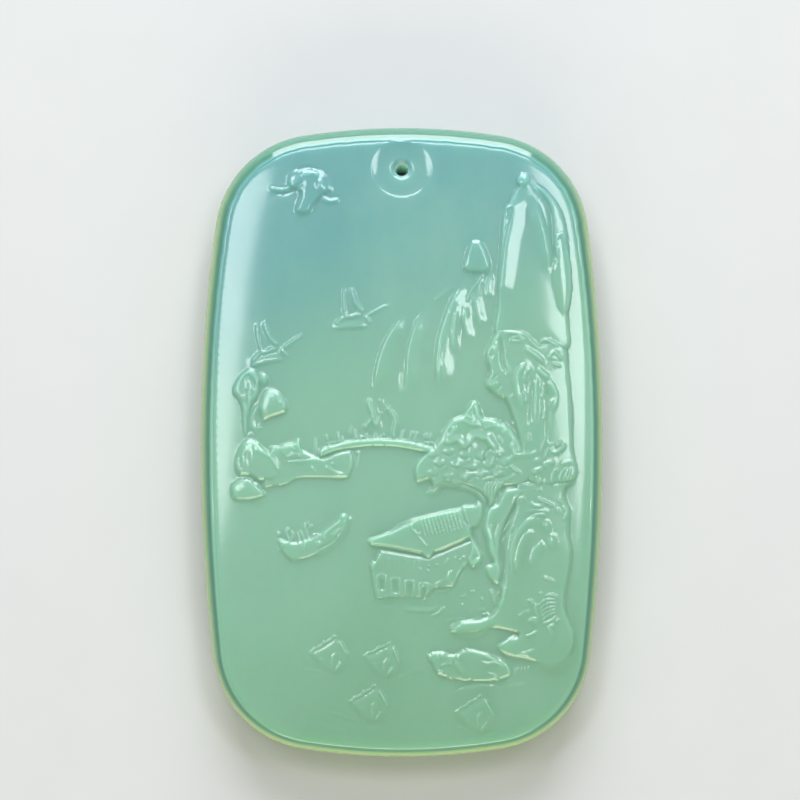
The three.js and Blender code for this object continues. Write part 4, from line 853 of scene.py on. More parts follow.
def carve_shrubs(c):
    """Fan-shaped shrubs and the wedge rock beside the water at the right."""
    for i in range(5):
        t = i / 4
        c.ridge([(13.3 + 0.5 * t, -17.0 - 0.35 * i), (14.2, -16.3 - 0.42 * i),
                 (15.3 - 0.2 * t, -16.35 - 0.3 * i)], 0.17, 0.1)
    c.ridge([(14.0, -16.0), (14.7, -15.85), (15.4, -16.2)], 0.2, 0.1)
    c.ridge([(13.1, -16.7), (13.2, -17.6), (13.5, -18.2)], 0.2, 0.09)
    c.ridge([(13.8, -18.7), (14.4, -18.5), (15.2, -18.0)], 0.2, 0.12)
    c.bead(15.2, -18.4, 0.35, 0.2, 0.12, 0.3)
    c.facet(14.9, -19.4, 0.65, 1.0, -0.03, 0.05)
    c.step([(14.9, -20.3), (14.4, -19.2), (14.6, -18.85), (15.4, -18.85)], 0.1, 0.2, 0.5)
    c.ridge([(12.3, -16.35), (12.7, -16.5), (12.9, -16.9)], 0.22, 0.12)
    c.bead(13.6, -15.7, 0.2, 0.15, 0.1)
    c.step([(11.4, -18.1), (11.9, -17.6), (12.6, -17.4)], 0.09, 0.2, 0.4)
    c.bead(12.95, -18.4, 0.6, 0.38, 0.12, 0.2)
    c.ridge([(12.4, -18.5), (12.9, -18.1), (13.4, -18.2)], 0.18, 0.09)
    c.ridge([(7.9, -17.8), (8.6, -17.7)], 0.18, 0.12)
    c.ridge([(7.3, -17.4), (8.2, -17.2)], 0.2, 0.05)
    c.ridge([(6.7, -15.6), (7.1, -15.4)], 0.2, 0.12)
    c.ridge([(5.7, -16.1), (6.4, -15.9)], 0.13, 0.07)
    c.ridge([(5.9, -16.9), (6.1, -16.7)], 0.13, 0.08)
    c.ridge([(7.7, -16.1), (8.0, -16.4)], 0.14, 0.07)
    c.facet(5.3, -18.95, 0.8, 0.3, 0.1, -0.3, 0.55)
    c.ridge([(4.7, -19.3), (5.3, -18.75), (6.3, -18.4)], 0.26, 0.12)
    c.ridge([(6.2, -18.45), (7.2, -18.25), (8.0, -18.1)], 0.14, 0.08)
    c.step([(4.8, -19.5), (6.3, -19.8), (7.8, -19.6), (9.2, -18.8)], 0.1, 0.3, 0.5)
    c.facet(10.0, -20.55, 1.0, 0.28, 0.05, -0.3, 0.42)
    c.ridge([(9.3, -20.9), (10.2, -20.4), (11.3, -19.75)], 0.24, 0.12)
    c.ridge([(12.1, -19.95), (12.7, -19.75), (13.3, -19.4)], 0.22, 0.12)
    c.step([(10.7, -21.8), (11.8, -21.65), (13.2, -21.1)], 0.12, 0.24, 0.5)
    c.step([(12.7, -22.3), (13.6, -22.75), (14.8, -22.95), (15.9, -22.6), (16.9, -21.3)],
           0.14, 0.34, 0.7)


def carve_boat(c):
    """A small boat with its crew amidships and a reed canopy towards the bow."""
    c.plate([(-12.2, -10.3), (-11.9, -11.4), (-11.1, -12.3), (-9.8, -12.35), (-8.7, -12.0),
             (-7.4, -11.45), (-6.4, -10.7), (-5.6, -9.7), (-5.2, -8.6), (-5.3, -7.9), (-5.9, -7.8),
             (-6.5, -8.5), (-7.6, -9.4), (-9.2, -10.2), (-10.6, -10.6)], c.ground * 0.8, 0.3)
    c.step([(-11.1, -12.35), (-9.8, -12.35)], 0.08, 0.24, 0.4, 0.6)
    c.step([(-8.8, -12.0), (-7.4, -11.45), (-6.4, -10.7), (-5.6, -9.6), (-5.2, -8.4),
            (-5.35, -7.8)], 0.1, 0.24, 0.35, 0.3)
    c.groove([(-8.6, -11.5), (-7.0, -10.7), (-5.9, -9.5)], 0.22, 0.08)
    c.ridge([(-7.6, -10.5), (-7.65, -10.0), (-7.3, -9.5), (-6.6, -9.0), (-6.1, -8.75)],
            0.2, 0.12, 0.3)
    c.ridge([(-6.9, -10.0), (-6.5, -9.75), (-6.0, -9.3)], 0.14, 0.1)
    c.bead(-6.5, -9.75, 0.2, 0.14, 0.08, 0.5)
    c.bead(-5.8, -8.15, 0.4, 0.3, 0.16)
    c.bead(-5.6, -8.6, 0.2, 0.18, 0.08)
    c.bead(-8.15, -10.8, 0.38, 0.34, 0.16, 0.2)
    c.ridge([(-8.8, -9.95), (-8.4, -9.85), (-8.0, -10.0)], 0.14, 0.07)
    c.bead(-12.15, -9.8, 0.22, 0.34, 0.15)
    c.ridge([(-12.05, -10.3), (-11.6, -10.8), (-10.9, -10.5)], 0.2, 0.13)
    c.ridge([(-11.6, -10.9), (-11.9, -11.2), (-12.0, -11.5)], 0.14, 0.09)
    c.ridge([(-11.0, -9.2), (-11.3, -9.6), (-11.2, -10.3), (-10.9, -10.5)], 0.15, 0.12)
    c.ridge([(-10.95, -9.4), (-10.75, -9.9), (-10.9, -10.5)], 0.15, 0.12)
    c.ridge([(-10.0, -9.4), (-9.7, -10.2), (-9.5, -10.8), (-9.75, -11.5)], 0.2, 0.14)
    c.ridge([(-10.3, -9.5), (-10.15, -10.3), (-10.1, -10.9)], 0.15, 0.08)
    c.ridge([(-9.1, -8.6), (-9.45, -9.0), (-9.45, -9.5), (-9.2, -10.4)], 0.15, 0.12)
    c.ridge([(-9.1, -9.3), (-8.8, -8.9)], 0.16, 0.1)


def carve_waterfowl(c, x, y, size, turn=0.0):
    """A swimming waterfowl, head tucked: a ragged back, a round breast and a folded wing."""
    cos, sin = size * math.cos(turn), size * math.sin(turn)

    def at(u, v):
        return x + u * cos - v * sin, y + u * sin + v * cos

    c.plate([at(-2.2, 0.0), at(-0.9, 0.7), at(0.3, 1.5), at(0.8, 1.4), at(1.5, 0.3),
             at(1.8, -0.6), at(1.5, -1.5), at(0.7, -2.1), at(-0.6, -1.9), at(-1.6, -1.0)],
            c.ground * 0.38, 0.6)
    for i in range(6):
        u, v = -2.0 + 0.45 * i, 0.05 + 0.28 * i
        c.ridge([at(u - 0.25, v - 0.15), at(u, v + 0.12 * (i % 2)), at(u + 0.25, v + 0.1)],
                0.15, 0.1)
    c.step([at(0.7, 1.35), at(1.2, 0.5), at(1.75, -0.5)], 0.1, 0.2, 0.3)
    c.ridge([at(0.75, 1.2), at(1.1, 0.5), at(1.6, -0.4)], 0.15, 0.09)
    c.step([at(0.1, -1.7), at(0.0, -0.7), at(0.3, -0.2), at(0.7, -0.1)], 0.07, 0.2, 0.4)
    c.ridge([at(0.3, -1.8), at(0.7, -1.4), at(0.95, -0.9)], 0.16, 0.1)
    c.ridge([at(-1.4, -0.8), at(-1.0, -0.7), at(-0.6, -0.8)], 0.13, 0.05)


def carve_water(c):
    """The long low rock awash, foam ticks and faint ripples."""
    c.plate([(2.5, -22.0), (2.9, -21.4), (4.0, -21.3), (5.0, -21.6), (6.3, -21.05), (7.8, -21.3),
             (9.0, -21.7), (10.1, -22.3), (10.7, -23.0), (10.8, -23.7), (9.6, -24.2),
             (8.0, -24.4), (6.4, -24.3), (4.8, -24.1), (3.4, -23.6), (3.0, -22.8)],
            c.ground * 0.8, 0.4)
    c.ridge([(2.6, -21.6), (2.75, -22.2)], 0.2, 0.13)
    c.ridge([(3.55, -21.7), (3.5, -22.1)], 0.15, 0.08)
    c.ridge([(4.05, -21.7), (3.85, -22.1)], 0.18, 0.12)
    c.bead(5.5, -22.0, 0.26, 0.32, 0.14)
    c.bead(6.35, -21.2, 0.2, 0.18, 0.12)
    c.step([(6.2, -23.7), (5.5, -23.0), (5.2, -22.2)], 0.08, 0.2, 0.5)
    c.facet(8.1, -22.5, 0.62, 0.36, 0.0, -0.26, -0.3)
    c.ridge([(7.6, -22.25), (8.4, -22.6), (9.2, -22.5), (10.0, -22.9)], 0.2, 0.12)
    c.ridge([(9.5, -22.1), (10.3, -22.7), (10.6, -23.6)], 0.22, 0.13)
    c.ridge([(8.2, -23.45), (9.1, -23.75), (9.55, -24.3)], 0.15, 0.12)
    c.ridge([(3.7, -22.9), (4.3, -22.65), (4.9, -22.6)], 0.16, 0.08)
    c.ridge([(3.4, -23.45), (4.1, -23.4)], 0.24, 0.12)
    c.ridge([(5.8, -24.1), (6.6, -24.1)], 0.18, 0.12)
    c.ridge([(4.6, -23.9), (5.4, -24.2)], 0.15, 0.07)
    for i in range(5):
        x = 11.0 + 0.34 * i
        c.ridge([(x, -23.5 + 0.06 * i), (x + 0.12, -23.0 + 0.05 * i)], 0.12, 0.1)
    c.step([(4.8, -25.45), (6.2, -25.0), (7.4, -24.65), (8.6, -24.75), (9.8, -24.9)],
           0.09, 0.22, 0.6)
    c.step([(9.9, -24.85), (11.0, -24.6), (12.3, -24.5)], 0.06, 0.2, 0.5)
    for points in ([(-9.7, -23.1), (-8.6, -23.2), (-7.2, -23.6)],
                   [(-0.6, -24.1), (0.3, -23.6), (1.2, -23.3), (2.3, -23.2)],
                   [(-7.6, -27.1), (-6.0, -27.6), (-4.2, -28.2)],
                   [(-8.0, -28.5), (-6.6, -28.9), (-5.2, -29.2)],
                   [(-3.4, -29.0), (-2.8, -28.7), (-2.2, -28.5)],
                   [(4.9, -28.6), (5.8, -28.8), (6.6, -29.0)],
                   [(7.7, -29.4), (8.6, -29.6), (9.4, -29.3)]):
        c.ridge(points, 0.26, 0.04)


def carve_landscape(c):
    carve_cloud(c, -9.1, 25.6)
    carve_bird(c, -4.5, 12.3, 0.0)
    carve_bird(c, -12.9, 8.9, 0.12)
    carve_tall_peak(c)
    carve_egg(c, 7.4, 17.8)
    carve_middle_mountain(c)
    carve_rock_columns(c)
    carve_left_shore(c)
    carve_lodge(c)
    carve_bridge(c)
    carve_big_tree(c)
    carve_trunk(c)
    carve_pavilion(c)
    carve_right_bank(c)
    carve_shrubs(c)
    carve_boat(c)
    carve_waterfowl(c, -6.9, -21.5, 1.0)
    carve_waterfowl(c, -1.7, -22.0, 0.95, -0.1)
    carve_waterfowl(c, -3.0, -26.3, 1.0)
    carve_waterfowl(c, 7.4, -27.3, 1.0)
    carve_water(c)


# ---- Face grid -------------------------------------------------------------------------------


def crease_table(form):
    """Face border and outline as functions of the turn round the face's middle."""
    inset = form.crease_line()
    border = inset + form.width / 2
    x = OUTLINE[:, 0] - OUTLINE[:, 2] * border
    y = OUTLINE[:, 1] - OUTLINE[:, 3] * border
    turn = np.arctan2(y / (HEIGHT / 2), x / (WIDTH / 2)) % (2 * math.pi)
    order = np.argsort(turn)
    rows = np.column_stack([turn, x, y, OUTLINE, inset])[order]
    first, last = rows[:1].copy(), rows[-1:].copy()
    first[0, 0] += 2 * math.pi
    last[0, 0] -= 2 * math.pi
    return np.vstack([last, rows, first])


def read_table(table, turn):
    """Border x and y, outline x and y, outward direction and inset at the given turns."""
    turn = turn % (2 * math.pi)
    return [np.interp(turn, table[:, 0], table[:, k]) for k in range(1, 8)]


def face_points(table):
    """Square grid squeezed into the crease line: even in the middle, exact at the border."""
    side = np.linspace(-1, 1, GRID + 1)
    u, v = np.meshgrid(side, side)
    m = np.maximum(np.abs(u), np.abs(v))
    turn = np.arctan2(v, u)
    cx, cy = read_table(table, turn)[:2]
    edge = np.hypot(cx / (WIDTH / 2), cy / (HEIGHT / 2))
    square = 1 / np.maximum(np.abs(np.cos(turn)), np.abs(np.sin(turn)))
    squeeze = 1 - (1 - edge / square) * m ** 3
    inner = 1 - 0.055 * (1 - m ** 3)
    return u * WIDTH / 2 * squeeze * inner, v * HEIGHT / 2 * squeeze * inner, m, turn


def grid_errors(z, care):
    """How far each grid point lies from the longer facets that would leave it out."""
    n = GRID
    errors = np.zeros((n + 1, n + 1))
    padded = np.zeros((2 * n + 1, 2 * n + 1))
    step = 2
    while step <= n:
        half, quarter = step // 2, step // 4
        weight = min(1.0, 0.25 + 0.09 * step)
        forced = step > 16
        i = np.arange(half, n, step)
        j = np.arange(0, n + 1, step)
        for across in (False, True):
            zz = z.T if across else z
            cc = care.T if across else care
            ee = errors.T if across else errors
            rows, cols = np.meshgrid(j, i, indexing="ij")
            own = np.abs((zz[rows, cols - half] + zz[rows, cols + half]) / 2 - zz[rows, cols])
            own = own * weight * cc[rows, cols] + (1e6 if forced else 0)
            on_border = (rows == 0) | (rows == n)
            own = np.where(on_border & (step >= 8), 1e6, own)
            if quarter:
                for dr in (-quarter, quarter):
                    for dc in (-quarter, quarter):
                        r, k = rows + dr, cols + dc
                        ok = (r >= 0) & (r <= n)
                        value = ee[np.clip(r, 0, n), k]
                        own = np.maximum(own, np.where(ok, value, 0))
            ee[rows, cols] = own
        rows, cols = np.meshgrid(i, i, indexing="ij")
        even = (((rows - half) // step + (cols - half) // step) % 2) == 0
        a = np.where(even, z[rows - half, cols - half], z[rows - half, cols + half])
        b = np.where(even, z[rows + half, cols + half], z[rows + half, cols - half])
        own = np.abs((a + b) / 2 - z[rows, cols]) * weight * care[rows, cols]
        own = own + (1e6 if forced else 0)
        for dr, dc in ((-half, 0), (half, 0), (0, -half), (0, half)):
            own = np.maximum(own, errors[rows + dr, cols + dc])
        errors[rows, cols] = own
        step *= 2
    return errors


def face_triangles(z, care, detail):
    """Triangles of the face: large where it is plain, small at the carving."""
    n = GRID
    errors = grid_errors(z, care)
    a = np.array([[n, n], [0, 0]])
    b = np.array([[0, 0], [n, n]])
    c = np.array([[n, 0], [0, n]])
    done = []
    while len(a):
        m = (a + b) // 2
        finest = np.abs(a - c).sum(axis=1) <= 1
        split = ~finest & (errors[m[:, 1], m[:, 0]] > detail)
        done.append(np.stack([a[~split], b[~split], c[~split]], axis=1))
        a, b, c, m = a[split], b[split], c[split], m[split]
        a, b, c = np.vstack([c, b]), np.vstack([a, c]), np.vstack([m, m])
    corners = np.vstack(done)
    return corners[:, :, 1] * (n + 1) + corners[:, :, 0]


# ---- Mesh of the stone ------------------------------------------------------------------------


def join_loops(outer, inner, points, radius):
    """Triangles that fill the surface between an outer loop and a ring round the hole."""
    loops = (outer, inner)
    numbers = [k for loop in loops for k in loop]
    places = [Vector(points[k][:2]) for k in numbers]
    edges, start = [], 0
    for loop in loops:
        count = len(loop)
        edges.extend((start + i, start + (i + 1) % count) for i in range(count))
        start += count
    found = delaunay_2d_cdt(places, edges, [], 1, 1e-7)
    triangles = []
    for face in found[2]:
        middle = sum((found[0][k] for k in face), Vector((0.0, 0.0))) / len(face)
        if math.hypot(middle.x, middle.y - HOLE_Y) > radius * 0.999:
            triangles.append(tuple(numbers[found[3][k][0]] for k in face))
    return triangles


def loops_of(triangles):
    """Border loops of a set of triangles, each as vertex numbers in order."""
    edges = np.vstack([triangles[:, [0, 1]], triangles[:, [1, 2]], triangles[:, [2, 0]]])
    key = edges[:, 0].astype(np.int64) * 10 ** 9 + edges[:, 1]
    back = edges[:, 1].astype(np.int64) * 10 ** 9 + edges[:, 0]
    border = edges[~np.isin(key, back)]
    after = {int(p): int(q) for p, q in border}
    loops = []
    while after:
        start = next(iter(after))
        loop = [start]
        step = after.pop(start)
        while step != start:
            loop.append(step)
            step = after.pop(step)
        loops.append(loop)
    return loops


def build_stone(form, carving_settings):
    """Vertices (x, y, z without the cushion), triangles and vertex marks, in millimetres."""
    table = crease_table(form)
    gx, gy, m, turn = face_points(table)
    x, y = gx.ravel(), gy.ravel()
    carving = Carving(x, y, carving_settings)
    carve_landscape(carving)
    z = form.level + form.dish_at(x, y) + form.roll_at(x, y) + (carving.base + carving.lines)
    grid = z.reshape(gx.shape)
    with_cushion = grid + form.cushion(gx, gy)
    from_hole = np.hypot(gx, gy - HOLE_Y)
    in_dish, at_mouth = DISH_RADIUS + 0.3, MOUTH_RADIUS + 0.6
    care = np.where(from_hole < in_dish, 6.0, 1.0)
    care = np.where(from_hole < at_mouth, 1e4, care)
    triangles = face_triangles(with_cushion, care, carving_settings.detail / MM)
    nearest = from_hole.ravel()[triangles].min(axis=1)
    triangles = triangles[nearest > MOUTH_RADIUS + 0.08]
    used, numbers = np.unique(triangles, return_inverse=True)
    triangles = numbers.reshape(triangles.shape)
    p = np.stack([x[used], y[used], z[used]], axis=1)
    a, b, c = (p[triangles[:, k]] for k in range(3))
    turned = np.cross(b - a, c - a)[:, 2] < 0
    triangles[turned] = triangles[turned][:, ::-1]
    marks = {"bore": [0.0] * len(used), "rim": [0.0] * len(used)}
    points = [tuple(q) for q in p]
    faces = [tuple(t) for t in triangles]
    loops = loops_of(triangles)
    loops.sort(key=len)
    hole_loop, rim_loop = loops[0], loops[-1]
    add_rim(points, faces, marks, form, table, rim_loop)
    add_hole(points, faces, marks, form, hole_loop)
    return np.array(points), faces, marks


def add_ring(points, marks, ring, bore=0.0, rim=0.0):
    start = len(points)
    points.extend(ring)
    marks["bore"].extend([bore] * len(ring))
    marks["rim"].extend([rim] * len(ring))
    return list(range(start, start + len(ring)))


def skin(faces, lower, upper):
    """Quads between two rings of equal length, the second lying further along the surface."""
    count = len(lower)
    for i in range(count):
        k = (i + 1) % count
        faces.append((lower[i], lower[k], upper[k], upper[i]))


def add_rim(points, faces, marks, form, table, loop):
    """From the crease over the rounded edge to the flat back, ring by ring."""
    p = np.array([points[k] for k in loop])
    turn = np.arctan2(p[:, 1] / (HEIGHT / 2), p[:, 0] / (WIDTH / 2))
    _, _, ox, oy, nx, ny, inset = read_table(table, turn)
    norm = np.hypot(nx, ny)
    nx, ny = nx / norm, ny / norm
    depth = form.crease_at(p[:, 0], p[:, 1])
    half = form.width / 2
    crest = inset - half
    rings = []
    edge = p[:, 2]
    for t in np.linspace(1 / CREASE_STEPS, 1.0, CREASE_STEPS):
        low = form.level - depth
        rings.append((inset + half * (1 - t), edge + (low - edge) * ease(np.array(t)), 0.0))
    top = form.rim(crest, inset)
    for t in np.linspace(1 / CREASE_STEPS, 1.0, CREASE_STEPS):
        low = form.level - depth
        rings.append((inset - half * t, low + (top - low) * ease(np.array(t)) ** 0.8, 0.0))
    for s in np.linspace(0.92, 0.0, RIM_STEPS):
        rings.append((crest * s ** 1.4, form.rim(crest * s ** 1.4, inset), 1 - s ** 1.4))
    for s in np.linspace(0.07, 1.0, BACK_STEPS):
        d = BACK_ROUND * s ** 1.6 * np.ones_like(inset)
        rings.append((d, EDGE_LEVEL - edge_rise(d, BACK_ROUND, EDGE_LEVEL), 1 - s))
    last = list(loop)
    for d, z, rim in rings:
        ring = np.stack([ox - nx * d, oy - ny * d, z], axis=1)
        numbers = add_ring(points, marks, [tuple(q) for q in ring], rim=rim)
        skin(faces, last, numbers)
        last = numbers
    form.back_loop = last


def add_hole(points, faces, marks, form, loop):
    """Rounded mouth, drilled bore and back mouth, joined to the face and to the back."""
    turns = np.arange(HOLE_SIDES) * 2 * math.pi / HOLE_SIDES
    round_off = MOUTH_RADIUS - HOLE_RADIUS
    back_off = BACK_MOUTH - HOLE_RADIUS
    top = form.level + form.dish_at(np.array(0.0), np.array(HOLE_Y - MOUTH_RADIUS))

    def ring(radius, z, bore):
        x, y = radius * np.cos(turns), HOLE_Y + radius * np.sin(turns)
        return add_ring(points, marks, [tuple(q) for q in np.stack([x, y, z + 0 * x], 1)], bore)

    quarter = np.linspace(0.0, math.pi / 2, MOUTH_STEPS)
    last = ring(MOUTH_RADIUS, float(top), 0.0)
    faces.extend(join_loops(loop, last, points, MOUTH_RADIUS))
    for t in quarter[1:]:
        radius = MOUTH_RADIUS - round_off * math.sin(t)
        numbers = ring(radius, top - round_off * (1 - math.cos(t)), float(ease(np.array(t - 0.8))))
        skin(faces, last, numbers)
        last = numbers
    for z in np.linspace(top - round_off - 0.25, back_off + 0.2, BORE_STEPS):
        numbers = ring(HOLE_RADIUS * (1 + 0.012 * math.sin(7 * z)), z, 1.0)
        skin(faces, last, numbers)
        last = numbers
    for t in quarter[::-1]:
        radius = BACK_MOUTH - back_off * math.sin(t)
        numbers = ring(radius, back_off * (1 - math.cos(t)), float(ease(np.array(t - 0.8))))
        skin(faces, last, numbers)
        last = numbers
    faces.extend(join_loops(form.back_loop, last, points, BACK_MOUTH))


def stone_mesh(form, carving_settings):
    points, faces, marks = build_stone(form, carving_settings)
    mesh = bpy.data.meshes.new("plaque_stone")
    mesh.from_pydata([tuple(p) for p in points * MM], [], faces)
    for name, values in marks.items():
        layer = mesh.attributes.new(name, "FLOAT", "POINT")
        layer.data.foreach_set("value", np.array(values, dtype=np.float32))
    work = bmesh.new()
    work.from_mesh(mesh)
    bmesh.ops.recalc_face_normals(work, faces=work.faces)
    bmesh.ops.triangulate(work, faces=[f for f in work.faces if len(f.verts) > 3])
    work.to_mesh(mesh)
    work.free()
    mesh.polygons.foreach_set("use_smooth", [True] * len(mesh.polygons))
    mesh.update()
    return mesh


# ---- Cushion rule, as geometry nodes -----------------------------------------------------------


def math_node(tree, operation, first, second=None):
    node = tree.nodes.new("ShaderNodeMath")
    node.operation = operation
    for socket, value in zip(node.inputs, (first, second)):
        if value is None:
            continue
        if isinstance(value, (int, float)):
            socket.default_value = value
        else:
            tree.links.new(value, socket)
    return node.outputs[0]


def cushion_tree():
    """Raises the front of the stone into its cushion and sets its material."""
    tree = bpy.data.node_groups.new("Cushion Form", "GeometryNodeTree")
    face = tree.interface
    face.new_socket("Geometry", in_out="INPUT", socket_type="NodeSocketGeometry")
    for name in ("Width", "Height", "Rise", "Fall", "Squareness", "Edge Level"):
        face.new_socket(name, in_out="INPUT", socket_type="NodeSocketFloat")
    face.new_socket("Material", in_out="INPUT", socket_type="NodeSocketMaterial")
    face.new_socket("Geometry", in_out="OUTPUT", socket_type="NodeSocketGeometry")
    start = tree.nodes.new("NodeGroupInput")
    end = tree.nodes.new("NodeGroupOutput")
    place = tree.nodes.new("GeometryNodeInputPosition")
    parts = tree.nodes.new("ShaderNodeSeparateXYZ")
    tree.links.new(place.outputs[0], parts.inputs[0])

    def share(axis, size):
        out = math_node(tree, "ABSOLUTE", parts.outputs[axis])
        half = math_node(tree, "DIVIDE", start.outputs[size], 2.0)
        power = math_node(tree, "DIVIDE", out, half)
        return math_node(tree, "POWER", power, start.outputs["Squareness"])

    total = math_node(tree, "ADD", share("X", "Width"), share("Y", "Height"))
    inverse = math_node(tree, "DIVIDE", 1.0, start.outputs["Squareness"])
    reach = math_node(tree, "POWER", total, inverse)
    reach = math_node(tree, "MINIMUM", reach, 1.0)
    fall = math_node(tree, "POWER", reach, start.outputs["Fall"])
    rise = math_node(tree, "SUBTRACT", 1.0, fall)
    rise = math_node(tree, "MULTIPLY", rise, start.outputs["Rise"])
    level = math_node(tree, "DIVIDE", parts.outputs["Z"], start.outputs["Edge Level"])
    level = math_node(tree, "MINIMUM", level, 1.0)
    level = math_node(tree, "MAXIMUM", level, 0.0)
    rise = math_node(tree, "MULTIPLY", rise, level)
    offset = tree.nodes.new("ShaderNodeCombineXYZ")
    tree.links.new(rise, offset.inputs["Z"])
    move = tree.nodes.new("GeometryNodeSetPosition")
    tree.links.new(start.outputs["Geometry"], move.inputs["Geometry"])
    tree.links.new(offset.outputs[0], move.inputs["Offset"])
    real = tree.nodes.new("GeometryNodeRealizeInstances")
    tree.links.new(move.outputs[0], real.inputs[0])
    paint = tree.nodes.new("GeometryNodeSetMaterial")
    tree.links.new(real.outputs[0], paint.inputs["Geometry"])
    tree.links.new(start.outputs["Material"], paint.inputs["Material"])
    tree.links.new(paint.outputs[0], end.inputs[0])
    return tree


def apply_cushion(mesh, form, material):
    """A plain mesh object of the stone with the cushion rule applied."""
    carrier = bpy.data.objects.new("plaque_carrier", mesh)
    bpy.context.scene.collection.objects.link(carrier)
    modifier = carrier.modifiers.new("Cushion Form", "NODES")
    tree = cushion_tree()
    modifier.node_group = tree
    values = {
        "Width": WIDTH * MM, "Height": HEIGHT * MM, "Rise": form.rise * MM,
        "Fall": form.fall, "Squareness": form.square, "Edge Level": EDGE_LEVEL * MM,
        "Material": material,
    }
    for item in tree.interface.items_tree:
        if item.in_out == "INPUT" and item.name in values:
            modifier[item.identifier] = values[item.name]
    graph = bpy.context.evaluated_depsgraph_get()
    finished = bpy.data.meshes.new_from_object(carrier.evaluated_get(graph))
    carrier.modifiers.remove(modifier)
    bpy.data.objects.remove(carrier)
    finished.name = "plaque_stone"
    return finished


# ---- Finish --------------------------------------------------------------------------------------


def group(name, inputs, outputs):
    tree = bpy.data.node_groups.new(name, "ShaderNodeTree")
    for label, kind, value in inputs:
        socket = tree.interface.new_socket(label, in_out="INPUT", socket_type=kind)
        socket.default_value = value
    for label, kind in outputs:
        tree.interface.new_socket(label, in_out="OUTPUT", socket_type=kind)
    return tree, tree.nodes.new("NodeGroupInput"), tree.nodes.new("NodeGroupOutput")


def ramp(tree, value, low, high):
    node = tree.nodes.new("ShaderNodeMapRange")
    node.interpolation_type = "SMOOTHSTEP"
    tree.links.new(value, node.inputs["Value"])
    node.inputs["From Min"].default_value = low
    node.inputs["From Max"].default_value = high
    return node.outputs["Result"]


def mix_colour(tree, factor, first, second):
    node = tree.nodes.new("ShaderNodeMix")
    node.data_type = "RGBA"
    for socket, value in ((node.inputs["Factor"], factor), (node.inputs[6], first),
                          (node.inputs[7], second)):
        if isinstance(value, (int, float)):
            socket.default_value = value
        elif isinstance(value, tuple):
            socket.default_value = value
        else:
            tree.links.new(value, socket)
    return node.outputs[2]


def noise(tree, scale, detail=2.0, roughness=0.5, stretch=(1.0, 1.0, 1.0)):
    place = tree.nodes.new("ShaderNodeTexCoord")
    turn = tree.nodes.new("ShaderNodeMapping")
    turn.inputs["Scale"].default_value = stretch
    tree.links.new(place.outputs["Object"], turn.inputs["Vector"])
    node = tree.nodes.new("ShaderNodeTexNoise")
    node.inputs["Scale"].default_value = scale
    node.inputs["Detail"].default_value = detail
    node.inputs["Roughness"].default_value = roughness
    tree.links.new(turn.outputs[0], node.inputs["Vector"])
    return node.outputs["Fac"]


def stone_tone_group():
    """Body colour: bluish at the top, greener at the foot, with pale drifting clouds."""
    colours = ("Upper", "Middle", "Lower", "Milk")
    tree, start, end = group(
        "Stone Tone",
        [(name, "NodeSocketColor", (1, 1, 1, 1)) for name in colours]
        + [("Milkiness", "NodeSocketFloat", 0.4)],
        [("Color", "NodeSocketColor")])
    place = tree.nodes.new("ShaderNodeTexCoord")
    parts = tree.nodes.new("ShaderNodeSeparateXYZ")
    tree.links.new(place.outputs["Object"], parts.inputs[0])
    lean = math_node(tree, "MULTIPLY", parts.outputs["X"], 0.45)
    slant = math_node(tree, "SUBTRACT", parts.outputs["Y"], lean)
    drift = math_node(tree, "MULTIPLY", noise(tree, 45.0, 2.0), 0.012)
    slant = math_node(tree, "ADD", slant, drift)
    middle = ramp(tree, slant, 0.036, 0.008)
    lower = ramp(tree, slant, 0.006, -0.024)
    body = mix_colour(tree, middle, start.outputs["Upper"], start.outputs["Middle"])
    body = mix_colour(tree, lower, body, start.outputs["Lower"])
    cloud = ramp(tree, noise(tree, 95.0, 4.0, 0.6, (1.0, 0.6, 1.0)), 0.42, 0.78)
    amount = math_node(tree, "MULTIPLY", cloud, start.outputs["Milkiness"])
    tree.links.new(mix_colour(tree, amount, body, start.outputs["Milk"]), end.inputs["Color"])
    return tree


def rim_shade_and_glow_group():
    """Painted light on the rim over a body colour: deep green painted shade, then a yellow-green
    painted glow at the thin edge.
    """
    tree, start, end = group(
        "Rim Painted Light",
        [("Body", "NodeSocketColor", (1, 1, 1, 1)), ("Rim", "NodeSocketColor", (1, 1, 1, 1)),
         ("Edge", "NodeSocketColor", (1, 1, 1, 1)), ("Way", "NodeSocketFloat", 0.0)],
        [("Color", "NodeSocketColor")])
    place = tree.nodes.new("ShaderNodeTexCoord")
    parts = tree.nodes.new("ShaderNodeSeparateXYZ")
    tree.links.new(place.outputs["Object"], parts.inputs[0])
    # Painted shade: from the crease outwards the body colour turns to the deep green rim colour.
    body = mix_colour(tree, ramp(tree, start.outputs["Way"], 0.02, 0.25),
                      start.outputs["Body"], start.outputs["Rim"])
    # Painted glow: the thin outer edge turns yellow-green, except at the top end of the stone.
    thin = ramp(tree, start.outputs["Way"], 0.35, 0.8)
    below = ramp(tree, parts.outputs["Y"], 0.030, 0.020)
    painted_glow = math_node(tree, "MULTIPLY", thin, below)
    tree.links.new(mix_colour(tree, painted_glow, body, start.outputs["Edge"]), end.inputs["Color"])
    return tree


def polish_group():
    """Faint ripples and specks that hand polishing leaves."""
    tree, start, end = group(
        "Hand Polish", [("Ripple", "NodeSocketFloat", 1.0)],
        [("Height", "NodeSocketFloat"), ("Mask", "NodeSocketFloat")])
    broad = noise(tree, 260.0, 2.0)
    fine = noise(tree, 2400.0, 2.0)
    height = math_node(tree, "ADD", math_node(tree, "MULTIPLY", broad, 0.85),
                       math_node(tree, "MULTIPLY", fine, 0.15))
    height = math_node(tree, "MULTIPLY", height, start.outputs["Ripple"])
    tree.links.new(height, end.inputs["Height"])
    tree.links.new(ramp(tree, fine, 0.35, 0.7), end.inputs["Mask"])
    return tree


def place_group(material, tree, values):
    node = material.node_tree.nodes.new("ShaderNodeGroup")
    node.node_tree = tree
    for name, value in values.items():
        node.inputs[name].default_value = value
    return node


def rgba(colour):
    return (*colour, 1.0)


